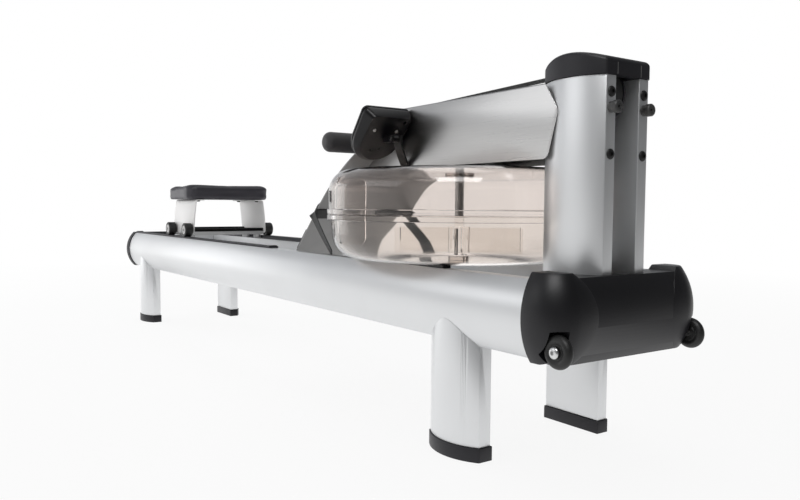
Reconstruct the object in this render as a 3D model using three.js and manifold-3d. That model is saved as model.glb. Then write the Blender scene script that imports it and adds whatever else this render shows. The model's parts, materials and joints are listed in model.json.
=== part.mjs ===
// Water rowing machine: an aluminium twin-rail frame on four legs, a clear water tank
// under a brushed deck, a rolling seat, a sloping footboard, a pull handle on a webbing
// strap, a small monitor and two transport wheels. Lengths are in millimetres.
//
// While it is built, x = 0 is the front face of the front legs and +x points forward,
// to the two posts. z = 0 is the floor. Right-hand pieces are on the -y side.
// The finished group is moved so that its origin is on the floor under its middle.

import * as THREE from 'three';
import { mergeVertices, toCreasedNormals } from 'three/addons/utils/BufferGeometryUtils.js';
import Module from 'manifold-3d';

const wasm = await Module();
wasm.setup();

// Gaps and overruns
const seatGap = 0.3; // between two pieces that touch
const runGap = 0.5; // between a turning piece and what it turns on
const overrun = 5; // how far a cutting shape runs past the face that it cuts
const weldDistance = 0.0001;

// How finely round shapes are divided
const bulgeSteps = 12;
const smallRoundSteps = 16;
const wheelSteps = 28;
const tankSteps = 60;
const cornerSteps = 4;
const creaseAngle = 0.6;

// Rails
const railBottom = 200;
const railHeight = 124;
const railGap = 274;
const railEdge = 25.5;
const railBulge = 25;
const railWall = 3;
const railFront = 140;
const railLength = 2187;
const railInner = railGap / 2;
const railOuter = railInner + railEdge;
const railTop = railBottom + railHeight;
const railRear = railFront - railLength;

// Seat tracks on the rails
const trackThickness = 4.2;
const trackWidth = 23;
const trackLip = 3;
const trackLipDrop = 8;
const trackFront = -836;
const trackStopHeight = 8;
const trackStopLength = 12;
const trackTop = railTop + seatGap + trackThickness;

// Legs and their feet
const legDepth = 136;
const legBulge = 23;
const legWall = 3;
const legSetback = 85; // from the rails' rear ends
const legSpacing = -(railRear + legSetback + legDepth);
const footHeight = 25;
const footProud = 2.5;
const footPlugHeight = 14;

// Cross members between the rails
const frontCrossSetback = 100; // from the rails' front ends
const frontCrossRear = railFront - frontCrossSetback;
const frontCrossDepth = 96;
const crossRise = 14; // above the rails' undersides
const crossDrop = 6; // below their tops
const crossBottom = railBottom + crossRise;
const crossWall = 4;
const crossCorner = 6;
const rearCrossDepth = 40;
const crossTop = railTop - crossDrop;

// Rear bumper
const bumperLength = 28;
const bumperProud = 3;
const bumperBarHeight = 13;
const bumperInnerOverlap = 3;

// Posts
const postSetback = 108; // from the rails' front ends
const postRear = railFront - postSetback;
const postDepth = 130;
const postGap = 57;
const postEdge = 22.5;
const postBulge = 22;
const postWall = 3;
const postTop = 644;
const postFront = postRear + postDepth;
const postInner = postGap / 2;
const postOuter = postInner + postEdge;
const postMiddle = postRear + postDepth / 2;

// Post cap
const capProud = 2.5;
const capEdgeHeight = 24;
const capCrown = 15;
const capGrooveWidth = 1.4;
const capGrooveDepth = 1.2;
const capHollowWidth = 48;
const capHollowDepth = 104;
const capHollowHeight = 30;
const capSlotHeight = 18;

// Rubber buffers on the front of the posts
const bufferDrop = 51; // below the posts' tops
const bufferHeight = postTop - bufferDrop;
const bufferRadius = 7;
const bufferLength = 22;
const bufferHeadRadius = 8;
const bufferHeadLength = 8;
const bufferSocketRadius = 2.6;
const bufferSocketDepth = 4;

// Front shroud
const shroudOverlap = 20; // how far it reaches back over the rails
const shroudLength = 50;
const shroudRear = railFront - shroudOverlap;
const shroudFront = shroudRear + shroudLength;
const shroudProud = 3.3;
const shroudWall = 3;
const lobeDrop = 6; // below the rails
const lobeRise = 12; // above them
const lobeBottom = railBottom - lobeDrop;
const lobeTop = railTop + lobeRise;
const lobeInset = 12; // inside the rails' inner faces, at the back
const lobeSlant = 14; // how much narrower a lobe is in front
const lobeInnerRear = railInner - lobeInset;
const lobeInnerFront = lobeInnerRear + lobeSlant;
const lobeSink = 2.5;
const lobeBulge = 25.6;
const lobeCorner = 20;
const barMargin = 4; // below and above the rails
const barBottom = railBottom - barMargin;
const barTop = railTop + barMargin;
const barBulge = 24;
const barOverlap = 9; // how far it runs into each lobe
const barReach = lobeInnerFront + barOverlap;

// Transport wheels in the lower corners of the shroud
const truckAhead = 7; // of the shroud's upright front edge
const truckRise = 25.5; // above the shroud's underside
const truckOut = 0.5; // beyond the rails' outer edges
const truckX = shroudFront + truckAhead;
const truckZ = lobeBottom + truckRise;
const truckY = railOuter + truckOut;
const truckRadius = 26.5;
const truckWidth = 15;
const truckTread = 6;
const truckHubShare = 0.45; // of the wheel's radius
const truckBore = 4.6;
const pocketGap = 5;
const pocketHeadroom = 32.5; // above the wheel's axis
const pocketDepth = 12; // inwards from the wheel's middle
const pocketCeiling = truckZ + pocketHeadroom;
const pocketWall = 5;
const pocketInner = truckY - pocketDepth;
const truckBoltRadius = 4;
const truckBoltHead = 8;
const truckBoltHeadLength = 5.5;
const truckBoltSocket = 3;
const truckBoltRoot = 7;

// Tank
const tankFlangeRadius = 273;
const tankPostGap = 17; // from the posts back to the flange
const tankRestHeight = 4;
const tankX = postRear - tankPostGap - tankFlangeRadius;
const tankBottom = railTop + tankRestHeight + 2 * seatGap;
const tankWall = 4;
const tankLowerStep = 8; // how far the lower wall lies inside the flange
const tankLowerRadius = tankFlangeRadius - tankLowerStep;
const tankLowerDraft = 2;
const tankUpperStep = 3.5; // how far the upper wall lies inside the flange
const tankUpperRadius = tankFlangeRadius - tankUpperStep;
const tankLowerHeight = 77.9; // up to the flange
const tankFlangeBottom = tankBottom + tankLowerHeight;
const tankFlangeHeight = 10.3;
const sealHeight = 1.2;
const tankUpperHeight = 102; // from the flange's underside to the top
const tankTop = tankFlangeBottom + tankUpperHeight;
const tankLowerFillet = 52;
const tankUpperFillet = 44;
const tankMouthRadius = 30;
const filletSteps = 5;
const sealWidth = 11;
const sealInnerRadius = tankFlangeRadius - sealWidth;
const ribCount = 6;
const ribDepth = 9;
const ribWidth = 8;
const ribEnd = 26;
const tankBossRadius = 20;
const tankBossHeight = 8;
const waterRise = 12.5; // above the flange's underside
const waterLevel = tankFlangeBottom + waterRise;
const waterWallGap = 1.5;

// Tank rests on the rails
const restLength = 300;
const restWidth = 20;
const restInset = 3;

// Shaft, impeller and drum
const shaftRadius = 9;
const shaftStand = 57.5; // above the tank
const shaftTop = tankTop + shaftStand;
const impellerRadius = 138;
const impellerHub = 21;
const hubProud = 2;
const impellerRise = 16.4; // above the tank's underside
const impellerBottom = tankBottom + impellerRise;
const impellerHeight = 52;
const bladeCount = 6;
const bladeThickness = 4;
const bladeCornerShare = 0.35;
const waterRoom = 5;
const bearingRadius = 42;
const bearingPlate = 7;
const bearingNeck = 10;
const drumRadius = 44;
const drumFlange = 52;
const drumRise = 10.5; // above the tank
const drumBottom = tankTop + drumRise;
const drumHeight = 38;
const drumFlangeThickness = 3;

// Idler pulley between the posts
const idlerDrop = 23; // below the posts' tops
const idlerX = postMiddle;
const idlerZ = postTop - idlerDrop;
const idlerRadius = 43;
const idlerFlange = 47;
const idlerWidth = 32;
const idlerFlangeThickness = 3;
const idlerAxle = 6;

// Footboard: straight below, curved forward above
const boardSheet = 3;
const boardSlope = 44;
const boardTankGap = 84; // from the tank's flange to the knee
const boardKneeRise = 109; // above the rails
const boardKneeX = tankX - tankFlangeRadius - boardTankGap;
const boardKneeZ = railTop + boardKneeRise;
const boardStraight = 178;
const boardRadius = 650;
const boardCurve = 15.5;
const boardCurveSteps = 7;
const boardHalf = railInner - seatGap;
const boardCorner = 20;
const boardNotchGap = 1;

// Deck: a channel over the tank that reaches past the posts
const deckSheet = 2.5;
const deckStep = 3; // below the posts' tops
const deckRise = 7; // above the tank
const deckTop = postTop - deckStep;
const deckBottom = tankTop + deckRise;
const deckOverlap = 49; // how far the nose covers the posts
const deckNoseDrop = 41; // from the top to the nose's tip
const deckNoseX = postRear + deckOverlap;
const deckNoseZ = deckTop - deckNoseDrop;
const deckNoseTopRun = 26;
const deckNoseTopX = deckNoseX - deckNoseTopRun;
const deckNoseBottomRun = 23;
const deckNoseBottomX = deckNoseX - deckNoseBottomRun;
const deckTopSetback = 26; // where the top sheet ends, behind the nose's upper end
const deckTopFront = deckNoseTopX - deckTopSetback;
const deckFromKnee = 181; // from the board's knee to the deck's rear end
const deckRearTopX = boardKneeX + deckFromKnee;
const deckRearLean = 27;
const deckInner = postOuter + bulgeAt(deckNoseX, postRear, postFront, postBulge) + seatGap;
const deckOuter = deckInner + deckSheet;

// Heel rests on the footboard
const heelLength = 88;
const heelWidth = 92;
const heelThickness = 4;
const heelWallHeight = 42;
const heelWallThickness = 4;
const heelMiddle = 80;
const heelEnd = 4;
const heelCorner = 12;

// Foot straps
const webWidth = 30;
const webThickness = 2;
const webSlotY = 24;
const webSlotWidth = 8;
const webSlotSpare = 3;
const webPlace = 21;
const webArch = 76;
const webTurnShare = 0.8;
const webTurnSteps = 3;
const webArchSteps = 16;
const tailWidth = 22;
const tailTurn = 38;
const tailOut = 8;
const tailBow = 20;
const tailReach = 66;
const tailSteps = 10;
const tailHighShare = 1 / 6; // of its drop, where it bows furthest back
const tailFootShare = 1 / 7; // of its drop, where it turns along the rail
const tailTurnShares = [0.4, 0.75]; // of its reach, where it turns and where it lies

// Handle
const handleRise = 58.5; // above the deck's lower edge
const handleZ = deckBottom + handleRise;
const handleRadius = 22;
const handleLength = 392;
const handleRound = 13;
const yokeWidth = 34;
const yokeThickness = 3;
const yokeTongue = 16;
const restDrop = 16;
const restDepth = 30;

// Drive strap
const strapWidth = 22;
const strapThickness = 2.4;
const strapDeckRise = 9;

const strapTurnSteps = 12;
const strapTwistSteps = 10;

// Monitor
const monitorFromEnd = 61; // ahead of the deck's rear end
const monitorDrop = 53; // below the deck's top
const monitorX = deckRearTopX + monitorFromEnd;
const monitorY = -130.5;
const monitorZ = deckTop - monitorDrop;
const monitorTilt = 38;
const monitorWidth = 108;
const monitorHeight = 125;
const monitorCorner = 12;
const monitorBackWidth = 88;
const monitorBackHeight = 92;
const monitorBackTopDepth = 30;
const monitorBackBottomDepth = 62;
const monitorBackRise = 3;
const monitorRim = 6;
const monitorLipShare = 0.97;
const monitorPoints = 40;
const screenWidth = 88;
const screenHeight = 52;
const screenRise = 22;
const screenThickness = 2;
const screenDepth = 1.6;
const screenCorner = 5;
const buttonRadius = 7;
const buttonSpacing = 26;
const buttonDrop = 22;
const buttonHeight = 4;
const buttonProud = 1.6;
const armWidth = 18;
const armThickness = 5;
const armHang = 3.5; // below the deck's lower edge
const armStraight = 22;
const armTopDrop = 8; // below the monitor's middle
const armBottom = deckBottom - armHang;
const armBend = armBottom + armStraight;
const armTop = monitorZ - armTopDrop;
const armOut = 36;
const armAhead = 56; // of the monitor's face
const armX = monitorX + armAhead;
const pivotRadius = 5;
const pivotDrop = 8;
const pivotHead = 3;
const armSteps = 14;
const lugRadius = 9;
const lugWidth = 16;
const lugRoot = 4;
const lugRootShare = 0.7; // of the knuckle's radius
const pivotHeadShare = 0.8; // of the knuckle's radius

// Seat
const seatSetback = 460; // from the rails' rear ends
const seatX = railRear + seatSetback;
const padWidth = 292;
const padDepth = 205;
const padRise = 124.5; // above the tracks
const padBottom = trackTop + padRise;
const padThickness = 42;
const padCorner = 30;
const padEdgeRound = 9;
const padFrontRise = 6;
const padDip = 7;
const padSideRise = 3;
const padPoints = 48;
const padDipBack = 0.35; // the hollow's middle, as a share of half the depth
const padDipSpread = 0.12;
const padDipFadeShare = 0.4; // how much the hollow fades towards the sides
const padWaistShare = 0.3; // how much of the top's shape the waist follows
const padShoulderShare = 0.8; // and the shoulder
const padCrownShare = 0.15; // of the edge's round
const padRingShares = [0.2, 0.35, 0.5, 0.65, 0.8, 0.93];
const bracketSheet = 3;
const bracketLength = 203;

const bracketInset = 9.5; // inside the rails' inner faces
const bracketLean = 10.5; // how far the side spreads, top to bottom
const bracketFootRise = 9.5; // above the tracks
const bracketFootY = railInner - bracketInset;
const bracketTopY = bracketFootY - bracketLean;
const bracketFlange = 30;
const bracketFoot = trackTop + bracketFootRise;
const bracketArcSteps = 8;
const bracketCorner = 14;
const wheelBase = 165;
const seatWheelRadius = 22.5;
const seatWheelWidth = 26;
const seatWheelReach = 20.5; // beyond the rails' inner faces
const seatWheelOuter = railInner + seatWheelReach;
const seatWheelChamfer = 2.5;
const seatHubRadius = 15;
const seatHubProud = 1.5;
const seatAxleRadius = 5;
const seatAxleEnd = 1;
const trayDepth = 190;
const traySheet = 2.5;
const trayLip = 14;
const guideRadius = 13;
const guidePin = 3;
const guideHang = 4; // below the rails' tops
const guideBottom = railTop - guideHang;
const guideHeight = 14;
const guideInset = 45;

// Tools for making shapes

// Position-only copy with shared corners merged and empty triangles left out.
function weld(geometry) {
  const bare = new THREE.BufferGeometry();
  bare.setAttribute('position', geometry.getAttribute('position').clone());
  if (geometry.index) {
    bare.setIndex(geometry.index.clone());
  }
  const merged = mergeVertices(bare, weldDistance);
  const corners = merged.index.array;
  const kept = [];
  for (let i = 0; i < corners.length; i += 3) {
    const [a, b, c] = [corners[i], corners[i + 1], corners[i + 2]];
    if (a !== b && b !== c && c !== a) {
      kept.push(a, b, c);
    }
  }
  merged.setIndex(kept);
  return faceOut(merged);
}

// Turn the faces of a closed shape outward when its volume comes out negative.
function faceOut(geometry) {
  const place = geometry.getAttribute('position');
  const corners = geometry.index.array;
  const [a, b, c] = [new THREE.Vector3(), new THREE.Vector3(), new THREE.Vector3()];
  let volume = 0;
  for (let i = 0; i < corners.length; i += 3) {
    a.fromBufferAttribute(place, corners[i]);
    b.fromBufferAttribute(place, corners[i + 1]);
    c.fromBufferAttribute(place, corners[i + 2]);
    volume += a.dot(b.cross(c));
  }
  if (volume < 0) {
    const turned = [];
    for (let i = 0; i < corners.length; i += 3) {
      turned.push(corners[i], corners[i + 2], corners[i + 1]);
    }
    geometry.setIndex(turned);
  }
  return geometry;
}

function toSolid(geometry) {
  const welded = weld(geometry);
  const vertProperties = new Float32Array(welded.getAttribute('position').array);
  const triVerts = new Uint32Array(welded.index.array);
  return new wasm.Manifold(new wasm.Mesh({ numProp: 3, vertProperties, triVerts }));
}

function fromSolid(solid) {
  const mesh = solid.getMesh();
  const geometry = new THREE.BufferGeometry();
  geometry.setAttribute('position', new THREE.BufferAttribute(mesh.vertProperties, 3));
  geometry.setIndex(new THREE.BufferAttribute(mesh.triVerts, 1));
  return geometry;
}

function fuse(...geometries) {
  return fromSolid(geometries.map(toSolid).reduce((whole, next) => whole.add(next)));
}

function cut(geometry, ...tools) {
  return fromSolid(tools.map(toSolid).reduce((whole, tool) => whole.subtract(tool), toSolid(geometry)));
}

function overlapOf(first, second) {
  return fromSolid(toSolid(first).intersect(toSolid(second)));
}

// A shape drawn in (y, z) and pushed forward along x, starting at x.
function pushX(shape, x, length, curveSegments = bulgeSteps) {
  const geometry = new THREE.ExtrudeGeometry(shape, { depth: length, bevelEnabled: false, curveSegments });
  const turn = new THREE.Matrix4().makeBasis(
    new THREE.Vector3(0, 1, 0),
    new THREE.Vector3(0, 0, 1),
    new THREE.Vector3(1, 0, 0),
  );
  return geometry.applyMatrix4(turn).translate(x, 0, 0);
}

// A shape drawn in (x, z) and pushed from y - length / 2 to y + length / 2.
function pushY(shape, y, length, curveSegments = bulgeSteps) {
  const geometry = new THREE.ExtrudeGeometry(shape, { depth: length, bevelEnabled: false, curveSegments });
  return geometry.rotateX(Math.PI / 2).translate(0, y + length / 2, 0);
}

// A shape drawn in (x, y) and pushed up from z.
function pushZ(shape, z, height, curveSegments = bulgeSteps) {
  const geometry = new THREE.ExtrudeGeometry(shape, { depth: height, bevelEnabled: false, curveSegments });
  return geometry.translate(0, 0, z);
}

function block(x0, x1, y0, y1, z0, z1) {
  const box = new THREE.BoxGeometry(x1 - x0, y1 - y0, z1 - z0);
  return box.translate((x0 + x1) / 2, (y0 + y1) / 2, (z0 + z1) / 2);
}

// A profile of [radius, height] pairs turned about the z axis.
function turnedZ(profile, steps) {
  const points = profile.map(([radius, height]) => new THREE.Vector2(radius, height));
  return new THREE.LatheGeometry(points, steps).rotateX(Math.PI / 2);
}

// The same, turned about the y axis: a height is then a distance along +y.
function turnedY(profile, steps) {
  const points = profile.map(([radius, height]) => new THREE.Vector2(radius, height));
  return new THREE.LatheGeometry(points, steps);
}

function rod(radius, y0, y1, steps = smallRoundSteps) {
  return turnedY([[0, y0], [radius, y0], [radius, y1], [0, y1]], steps);
}

// A surface through rings of points, closed with flat ends, or looped round on itself.
function skin(rings, looped = false) {
  const count = rings[0].length;
  const positions = rings.flat().flatMap((point) => [point.x, point.y, point.z]);
  const index = [];
  const spans = looped ? rings.length : rings.length - 1;
  for (let i = 0; i < spans; i += 1) {
    const next = (i + 1) % rings.length;
    for (let j = 0; j < count; j += 1) {
      const k = (j + 1) % count;
      const [a, b, c, d] = [i * count + j, i * count + k, next * count + k, next * count + j];
      index.push(a, b, c, a, c, d);
    }
  }
  if (!looped) {
    [0, rings.length - 1].forEach((end) => {
      const middle = new THREE.Vector3();
      rings[end].forEach((point) => middle.addScaledVector(point, 1 / count));
      const centre = positions.length / 3;
      positions.push(middle.x, middle.y, middle.z);
      for (let j = 0; j < count; j += 1) {
        const [a, b] = [end * count + j, end * count + ((j + 1) % count)];
        index.push(...(end === 0 ? [centre, b, a] : [centre, a, b]));
      }
    });
  }
  const geometry = new THREE.BufferGeometry();
  geometry.setAttribute('position', new THREE.Float32BufferAttribute(positions, 3));
  geometry.setIndex(index);
  return geometry;
}

// A flat band along a path: width vectors lie across it, thickness at right angles.
function band(points, widths, width, thickness) {
  const rings = points.map((point, i) => {
    const before = points[Math.max(i - 1, 0)];
    const after = points[Math.min(i + 1, points.length - 1)];
    const along = after.clone().sub(before).normalize();
    const side = widths[i].clone().addScaledVector(along, -widths[i].dot(along)).normalize();
    const face = along.clone().cross(side).normalize();
    const corner = (s, f) => point.clone()
      .addScaledVector(side, (s * width) / 2)
      .addScaledVector(face, (f * thickness) / 2);
    return [corner(-1, -1), corner(1, -1), corner(1, 1), corner(-1, 1)];
  });
  return skin(rings);
}

// The mirror copy on the other side of the machine.
function mirrored(geometry) {
  return faceOut(weld(geometry.clone().scale(1, -1, 1)));
}

function degrees(angle) {
  return (angle * Math.PI) / 180;
}

// The profile that rails, legs and posts share: a flat back at 0, straight edges out to
// "edge", then one arc that bulges beyond them. It is "size" across the back. An inset
// gives the line that runs that far inside it, or outside it when negative.
function bulgeOutline(size, edge, bulge, inset = 0) {
  const radius = (size * size / 4 + bulge * bulge) / (2 * bulge);
  const centre = edge + bulge - radius;
  const arc = radius - inset;
  const swing = Math.asin((size / 2 - inset) / arc);
  const points = [new THREE.Vector2(inset, size - inset), new THREE.Vector2(inset, inset)];
  for (let i = 0; i <= bulgeSteps; i += 1) {
    const angle = swing * (2 * i / bulgeSteps - 1);
    points.push(new THREE.Vector2(centre + arc * Math.cos(angle), size / 2 + arc * Math.sin(angle)));
  }
  return points;
}

function bulgeShape(size, edge, bulge, wall = 0, outset = 0) {
  const shape = new THREE.Shape(bulgeOutline(size, edge, bulge, -outset));
  if (wall > 0) {
    shape.holes.push(new THREE.Path(bulgeOutline(size, edge, bulge, wall)));
  }
  return shape;
}

function roundedRectangle(x0, x1, y0, y1, radius) {
  const shape = new THREE.Shape();
  shape.moveTo(x0 + radius, y0);
  shape.lineTo(x1 - radius, y0);
  shape.absarc(x1 - radius, y0 + radius, radius, -Math.PI / 2, 0);
  shape.lineTo(x1, y1 - radius);
  shape.absarc(x1 - radius, y1 - radius, radius, 0, Math.PI / 2);
  shape.lineTo(x0 + radius, y1);
  shape.absarc(x0 + radius, y1 - radius, radius, Math.PI / 2, Math.PI);
  shape.lineTo(x0, y0 + radius);
  shape.absarc(x0 + radius, y0 + radius, radius, Math.PI, Math.PI * 1.5);
  return shape;
}

// The group and its materials

const machine = new THREE.Group();

function surface(color, roughness, metalness, opacity = 1) {
  return new THREE.MeshStandardMaterial({ color, roughness, metalness, opacity, transparent: opacity < 1 });
}

const silver = surface(0xd9dadd, 0.35, 0.6);
const brushed = surface(0xb9babd, 0.3, 0.95);
const sheetGrey = surface(0x8f8e8c, 0.45, 0.7);
const blackPlastic = surface(0x1b1b1f, 0.45, 0.05);
const blackRubber = surface(0x161617, 0.8, 0);
const blackMetal = surface(0x151517, 0.4, 0.5);
const greyRubber = surface(0x55555a, 0.7, 0);
const webbing = surface(0x141416, 0.85, 0);
const foam = surface(0x1d1c1f, 0.8, 0);
const vinyl = surface(0x22212a, 0.55, 0);
const whitePaint = surface(0xe6e7e8, 0.35, 0.2);
const steel = surface(0xa8a8aa, 0.3, 1);
const smokeClear = surface(0xcbb8ab, 0.1, 0, 0.35);
const waterTint = surface(0xd8cfc4, 0.05, 0, 0.45);
const bearingPlastic = surface(0x2a2a2d, 0.5, 0);
const glassDark = surface(0x20262a, 0.15, 0.1);
const keyGrey = surface(0x4a4c50, 0.6, 0);

function addPart(name, geometry, material, parent = machine) {
  const smooth = toCreasedNormals(weld(geometry), creaseAngle);
  const mesh = new THREE.Mesh(smooth, material);
  mesh.name = name;
  parent.add(mesh);
  return mesh;
}

function addPair(name, leftGeometry, material) {
  addPart(`${name}_left`, leftGeometry, material);
  addPart(`${name}_right`, mirrored(leftGeometry), material);
}

// Rails, tracks and cross members

function railGeometry(wall, outset = 0) {
  const profile = bulgeShape(railHeight, railEdge, railBulge, wall, outset);
  return pushX(profile, railRear, railLength).translate(0, railInner, railBottom);
}

addPair('rail', railGeometry(railWall), silver);

// A strip over the inner top corner of the rail, with a stop at each end.
function trackGeometry() {
  const length = trackFront - railRear;
  const lipFace = railInner - seatGap;
  const outer = railInner + trackWidth;
  const bottom = railTop + seatGap;
  const profile = new THREE.Shape([
    new THREE.Vector2(lipFace - trackLip, bottom - trackLipDrop),
    new THREE.Vector2(lipFace, bottom - trackLipDrop),
    new THREE.Vector2(lipFace, bottom),
    new THREE.Vector2(outer, bottom),
    new THREE.Vector2(outer, trackTop),
    new THREE.Vector2(lipFace - trackLip, trackTop),
  ]);
  const strip = pushX(profile, railRear, length);
  const stopTop = trackTop + trackStopHeight;
  const stops = [railRear, trackFront - trackStopLength].map((x) => (
    block(x, x + trackStopLength, lipFace, outer, trackTop - trackThickness / 2, stopTop)
  ));
  return fuse(strip, ...stops);
}

addPair('seat_track', trackGeometry(), blackPlastic);

function crossMember(x, depth) {
  const profile = roundedRectangle(x, x + depth, crossBottom, crossTop, crossCorner);
  profile.holes.push(roundedRectangle(
    x + crossWall,
    x + depth - crossWall,
    crossBottom + crossWall,
    crossTop - crossWall,
    crossCorner - crossWall / 2,
  ));
  return pushY(profile, 0, railGap - 2 * seatGap, cornerSteps);
}

// The rear one is notched where the tracks' lips pass it.
function rearCrossMember() {
  const notchInner = railInner - trackLip - 2 * seatGap;
  const notch = block(
    railRear - overrun,
    railRear + rearCrossDepth + overrun,
    notchInner,
    railInner + overrun,
    railTop - trackLipDrop,
    railTop,
  );
  return cut(crossMember(railRear, rearCrossDepth), notch, mirrored(notch));
}

addPart('front_crossmember', crossMember(frontCrossRear, frontCrossDepth), blackMetal);
addPart('rear_crossmember', rearCrossMember(), whitePaint);

// Two end caps with the rails' outline and a plug in each rail, tied by a slim bar.
function bumperGeometry() {
  const face = railRear - seatGap;
  const capOutside = bulgeShape(railHeight, railEdge, railBulge, 0, bumperProud);
  const cap = pushX(capOutside, face - bumperLength, bumperLength).translate(0, railInner, railBottom);
  const plugOutline = bulgeOutline(railHeight, railEdge, railBulge, railWall + seatGap);
  const plug = pushX(new THREE.Shape(plugOutline), face - overrun, bumperLength)
    .translate(0, railInner, railBottom);
  const whole = fuse(cap, plug);
  const reach = railInner + bumperInnerOverlap;
  const top = railTop + bumperProud;
  const bar = block(face - bumperLength, face, -reach, reach, top - bumperBarHeight, top);
  return fuse(whole, mirrored(whole), bar);
}

addPart('rear_bumper', bumperGeometry(), blackPlastic);

// Legs and feet

// The shared profile stood upright on the left, its front edge at x.
function uprightGeometry(x, inner, depth, edge, bulge, wall, outset, z, height) {
  const standing = pushZ(bulgeShape(depth, edge, bulge, wall, outset), z, height);
  const turn = new THREE.Matrix4().makeBasis(
    new THREE.Vector3(0, 1, 0),
    new THREE.Vector3(-1, 0, 0),
    new THREE.Vector3(0, 0, 1),
  );
  return standing.applyMatrix4(turn).translate(x, inner, 0);
}

// A leg runs up under its rail and is coped round the rail's bulging side.
function legGeometry(x) {
  const bottom = footHeight + seatGap;
  const top = railBottom + railHeight / 2;
  const height = top - bottom;
  const leg = uprightGeometry(x, railInner, legDepth, railEdge, legBulge, legWall, 0, bottom, height);
  const rail = pushX(bulgeShape(railHeight, railEdge, railBulge, 0, seatGap), railRear, railLength)
    .translate(0, railInner, railBottom);
  return cut(leg, rail);
}

function footGeometry(x) {
  const cap = uprightGeometry(x, railInner, legDepth, railEdge, legBulge, 0, footProud, 0, footHeight);
  const inset = legWall + seatGap;
  const plugOutline = bulgeOutline(legDepth, railEdge, legBulge, inset);
  const plug = pushZ(new THREE.Shape(plugOutline), 0, footHeight + footPlugHeight);
  const turn = new THREE.Matrix4().makeBasis(
    new THREE.Vector3(0, 1, 0),
    new THREE.Vector3(-1, 0, 0),
    new THREE.Vector3(0, 0, 1),
  );
  return fuse(cap, plug.applyMatrix4(turn).translate(x, railInner, 0));
}

[['front', 0], ['rear', -legSpacing]].forEach(([end, x]) => {
  addPair(`leg_${end}`, legGeometry(x), silver);
  addPair(`foot_${end}`, footGeometry(x), blackRubber);
});

// Posts, their cap and the buffers on them

const postBase = crossTop + seatGap;

const postHeight = postTop - postBase;

addPair(
  'post',
  uprightGeometry(postFront, postInner, postDepth, postEdge, postBulge, postWall, 0, postBase, postHeight),
  silver,
);

// The outline round both posts, drawn in (x, y).
function capOutline(outset) {
  const side = bulgeOutline(postDepth, postEdge, postBulge, -outset)
    .slice(2)
    .map((point) => new THREE.Vector2(postFront - point.y, postInner + point.x));
  const other = side.map((point) => new THREE.Vector2(point.x, -point.y)).reverse();
  return [...side, ...other];
}

function postCapGeometry() {
  const bottom = postTop + seatGap;
  const low = bottom + capEdgeHeight;
  const front = postFront + capProud + overrun;
  const rear = postRear - capProud - overrun;
  const half = (front - rear) / 2;
  const radius = (half * half + capCrown * capCrown) / (2 * capCrown);
  const swing = Math.asin(half / radius);
  const arch = new THREE.Shape();
  arch.moveTo(rear, bottom);
  arch.lineTo(front, bottom);
  arch.lineTo(front, low);
  arch.absarc(postMiddle, low + capCrown - radius, radius, Math.PI / 2 - swing, Math.PI / 2 + swing);
  const width = 2 * (postOuter + postBulge + capProud + overrun);
  const body = overlapOf(
    pushZ(new THREE.Shape(capOutline(capProud)), bottom, capEdgeHeight + capCrown),
    pushY(arch, 0, width),
  );
  const hollow = block(
    postMiddle - capHollowDepth / 2,
    postMiddle + capHollowDepth / 2,
    -capHollowWidth / 2,
    capHollowWidth / 2,
    bottom - overrun,
    bottom + capHollowHeight,
  );
  const slotHalf = (strapWidth + capSlotHeight / 2) / 2;
  const slotMiddle = idlerZ + idlerRadius + strapThickness;
  const slot = block(
    rear - overrun,
    postMiddle,
    -slotHalf,
    slotHalf,
    slotMiddle - capSlotHeight / 2,
    slotMiddle + capSlotHeight / 2,
  );
  const grooves = [-1, 1].map((side) => block(
    postFront + capProud - capGrooveDepth,
    postFront + capProud + overrun,
    side * postInner - capGrooveWidth / 2,
    side * postInner + capGrooveWidth / 2,
    bottom - overrun,
    low + capCrown,
  ));
  return cut(body, hollow, slot, ...grooves);
}

addPart('post_cap', postCapGeometry(), blackPlastic);

// A stub with a wider head and a hexagonal socket, standing out of a post's front edge.
function bufferGeometry() {
  const middle = postInner + postEdge / 2;
  const stub = turnedZ([
    [0, 0],
    [bufferRadius, 0],
    [bufferRadius, bufferLength - bufferHeadLength],
    [bufferHeadRadius, bufferLength - bufferHeadLength],
    [bufferHeadRadius, bufferLength - bufferSocketDepth / 2],
    [bufferRadius, bufferLength],
    [0, bufferLength],
  ], smallRoundSteps);
  const socket = turnedZ([
    [0, bufferLength - bufferSocketDepth],
    [bufferSocketRadius, bufferLength - bufferSocketDepth],
    [bufferSocketRadius, bufferLength + overrun],
    [0, bufferLength + overrun],
  ], 6);
  return cut(stub, socket)
    .rotateY(Math.PI / 2)
    .translate(postFront + seatGap, middle, bufferHeight);
}

addPair('buffer', bufferGeometry(), greyRubber);

// Front shroud

// How far a bulging side stands out at z, between its bottom and its top.
function bulgeAt(z, bottom, top, bulge) {
  const half = (top - bottom) / 2;
  const radius = (half * half + bulge * bulge) / (2 * bulge);
  const rise = z - (bottom + top) / 2;
  return Math.sqrt(Math.max(radius * radius - rise * rise, 0)) - radius + bulge;
}

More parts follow.
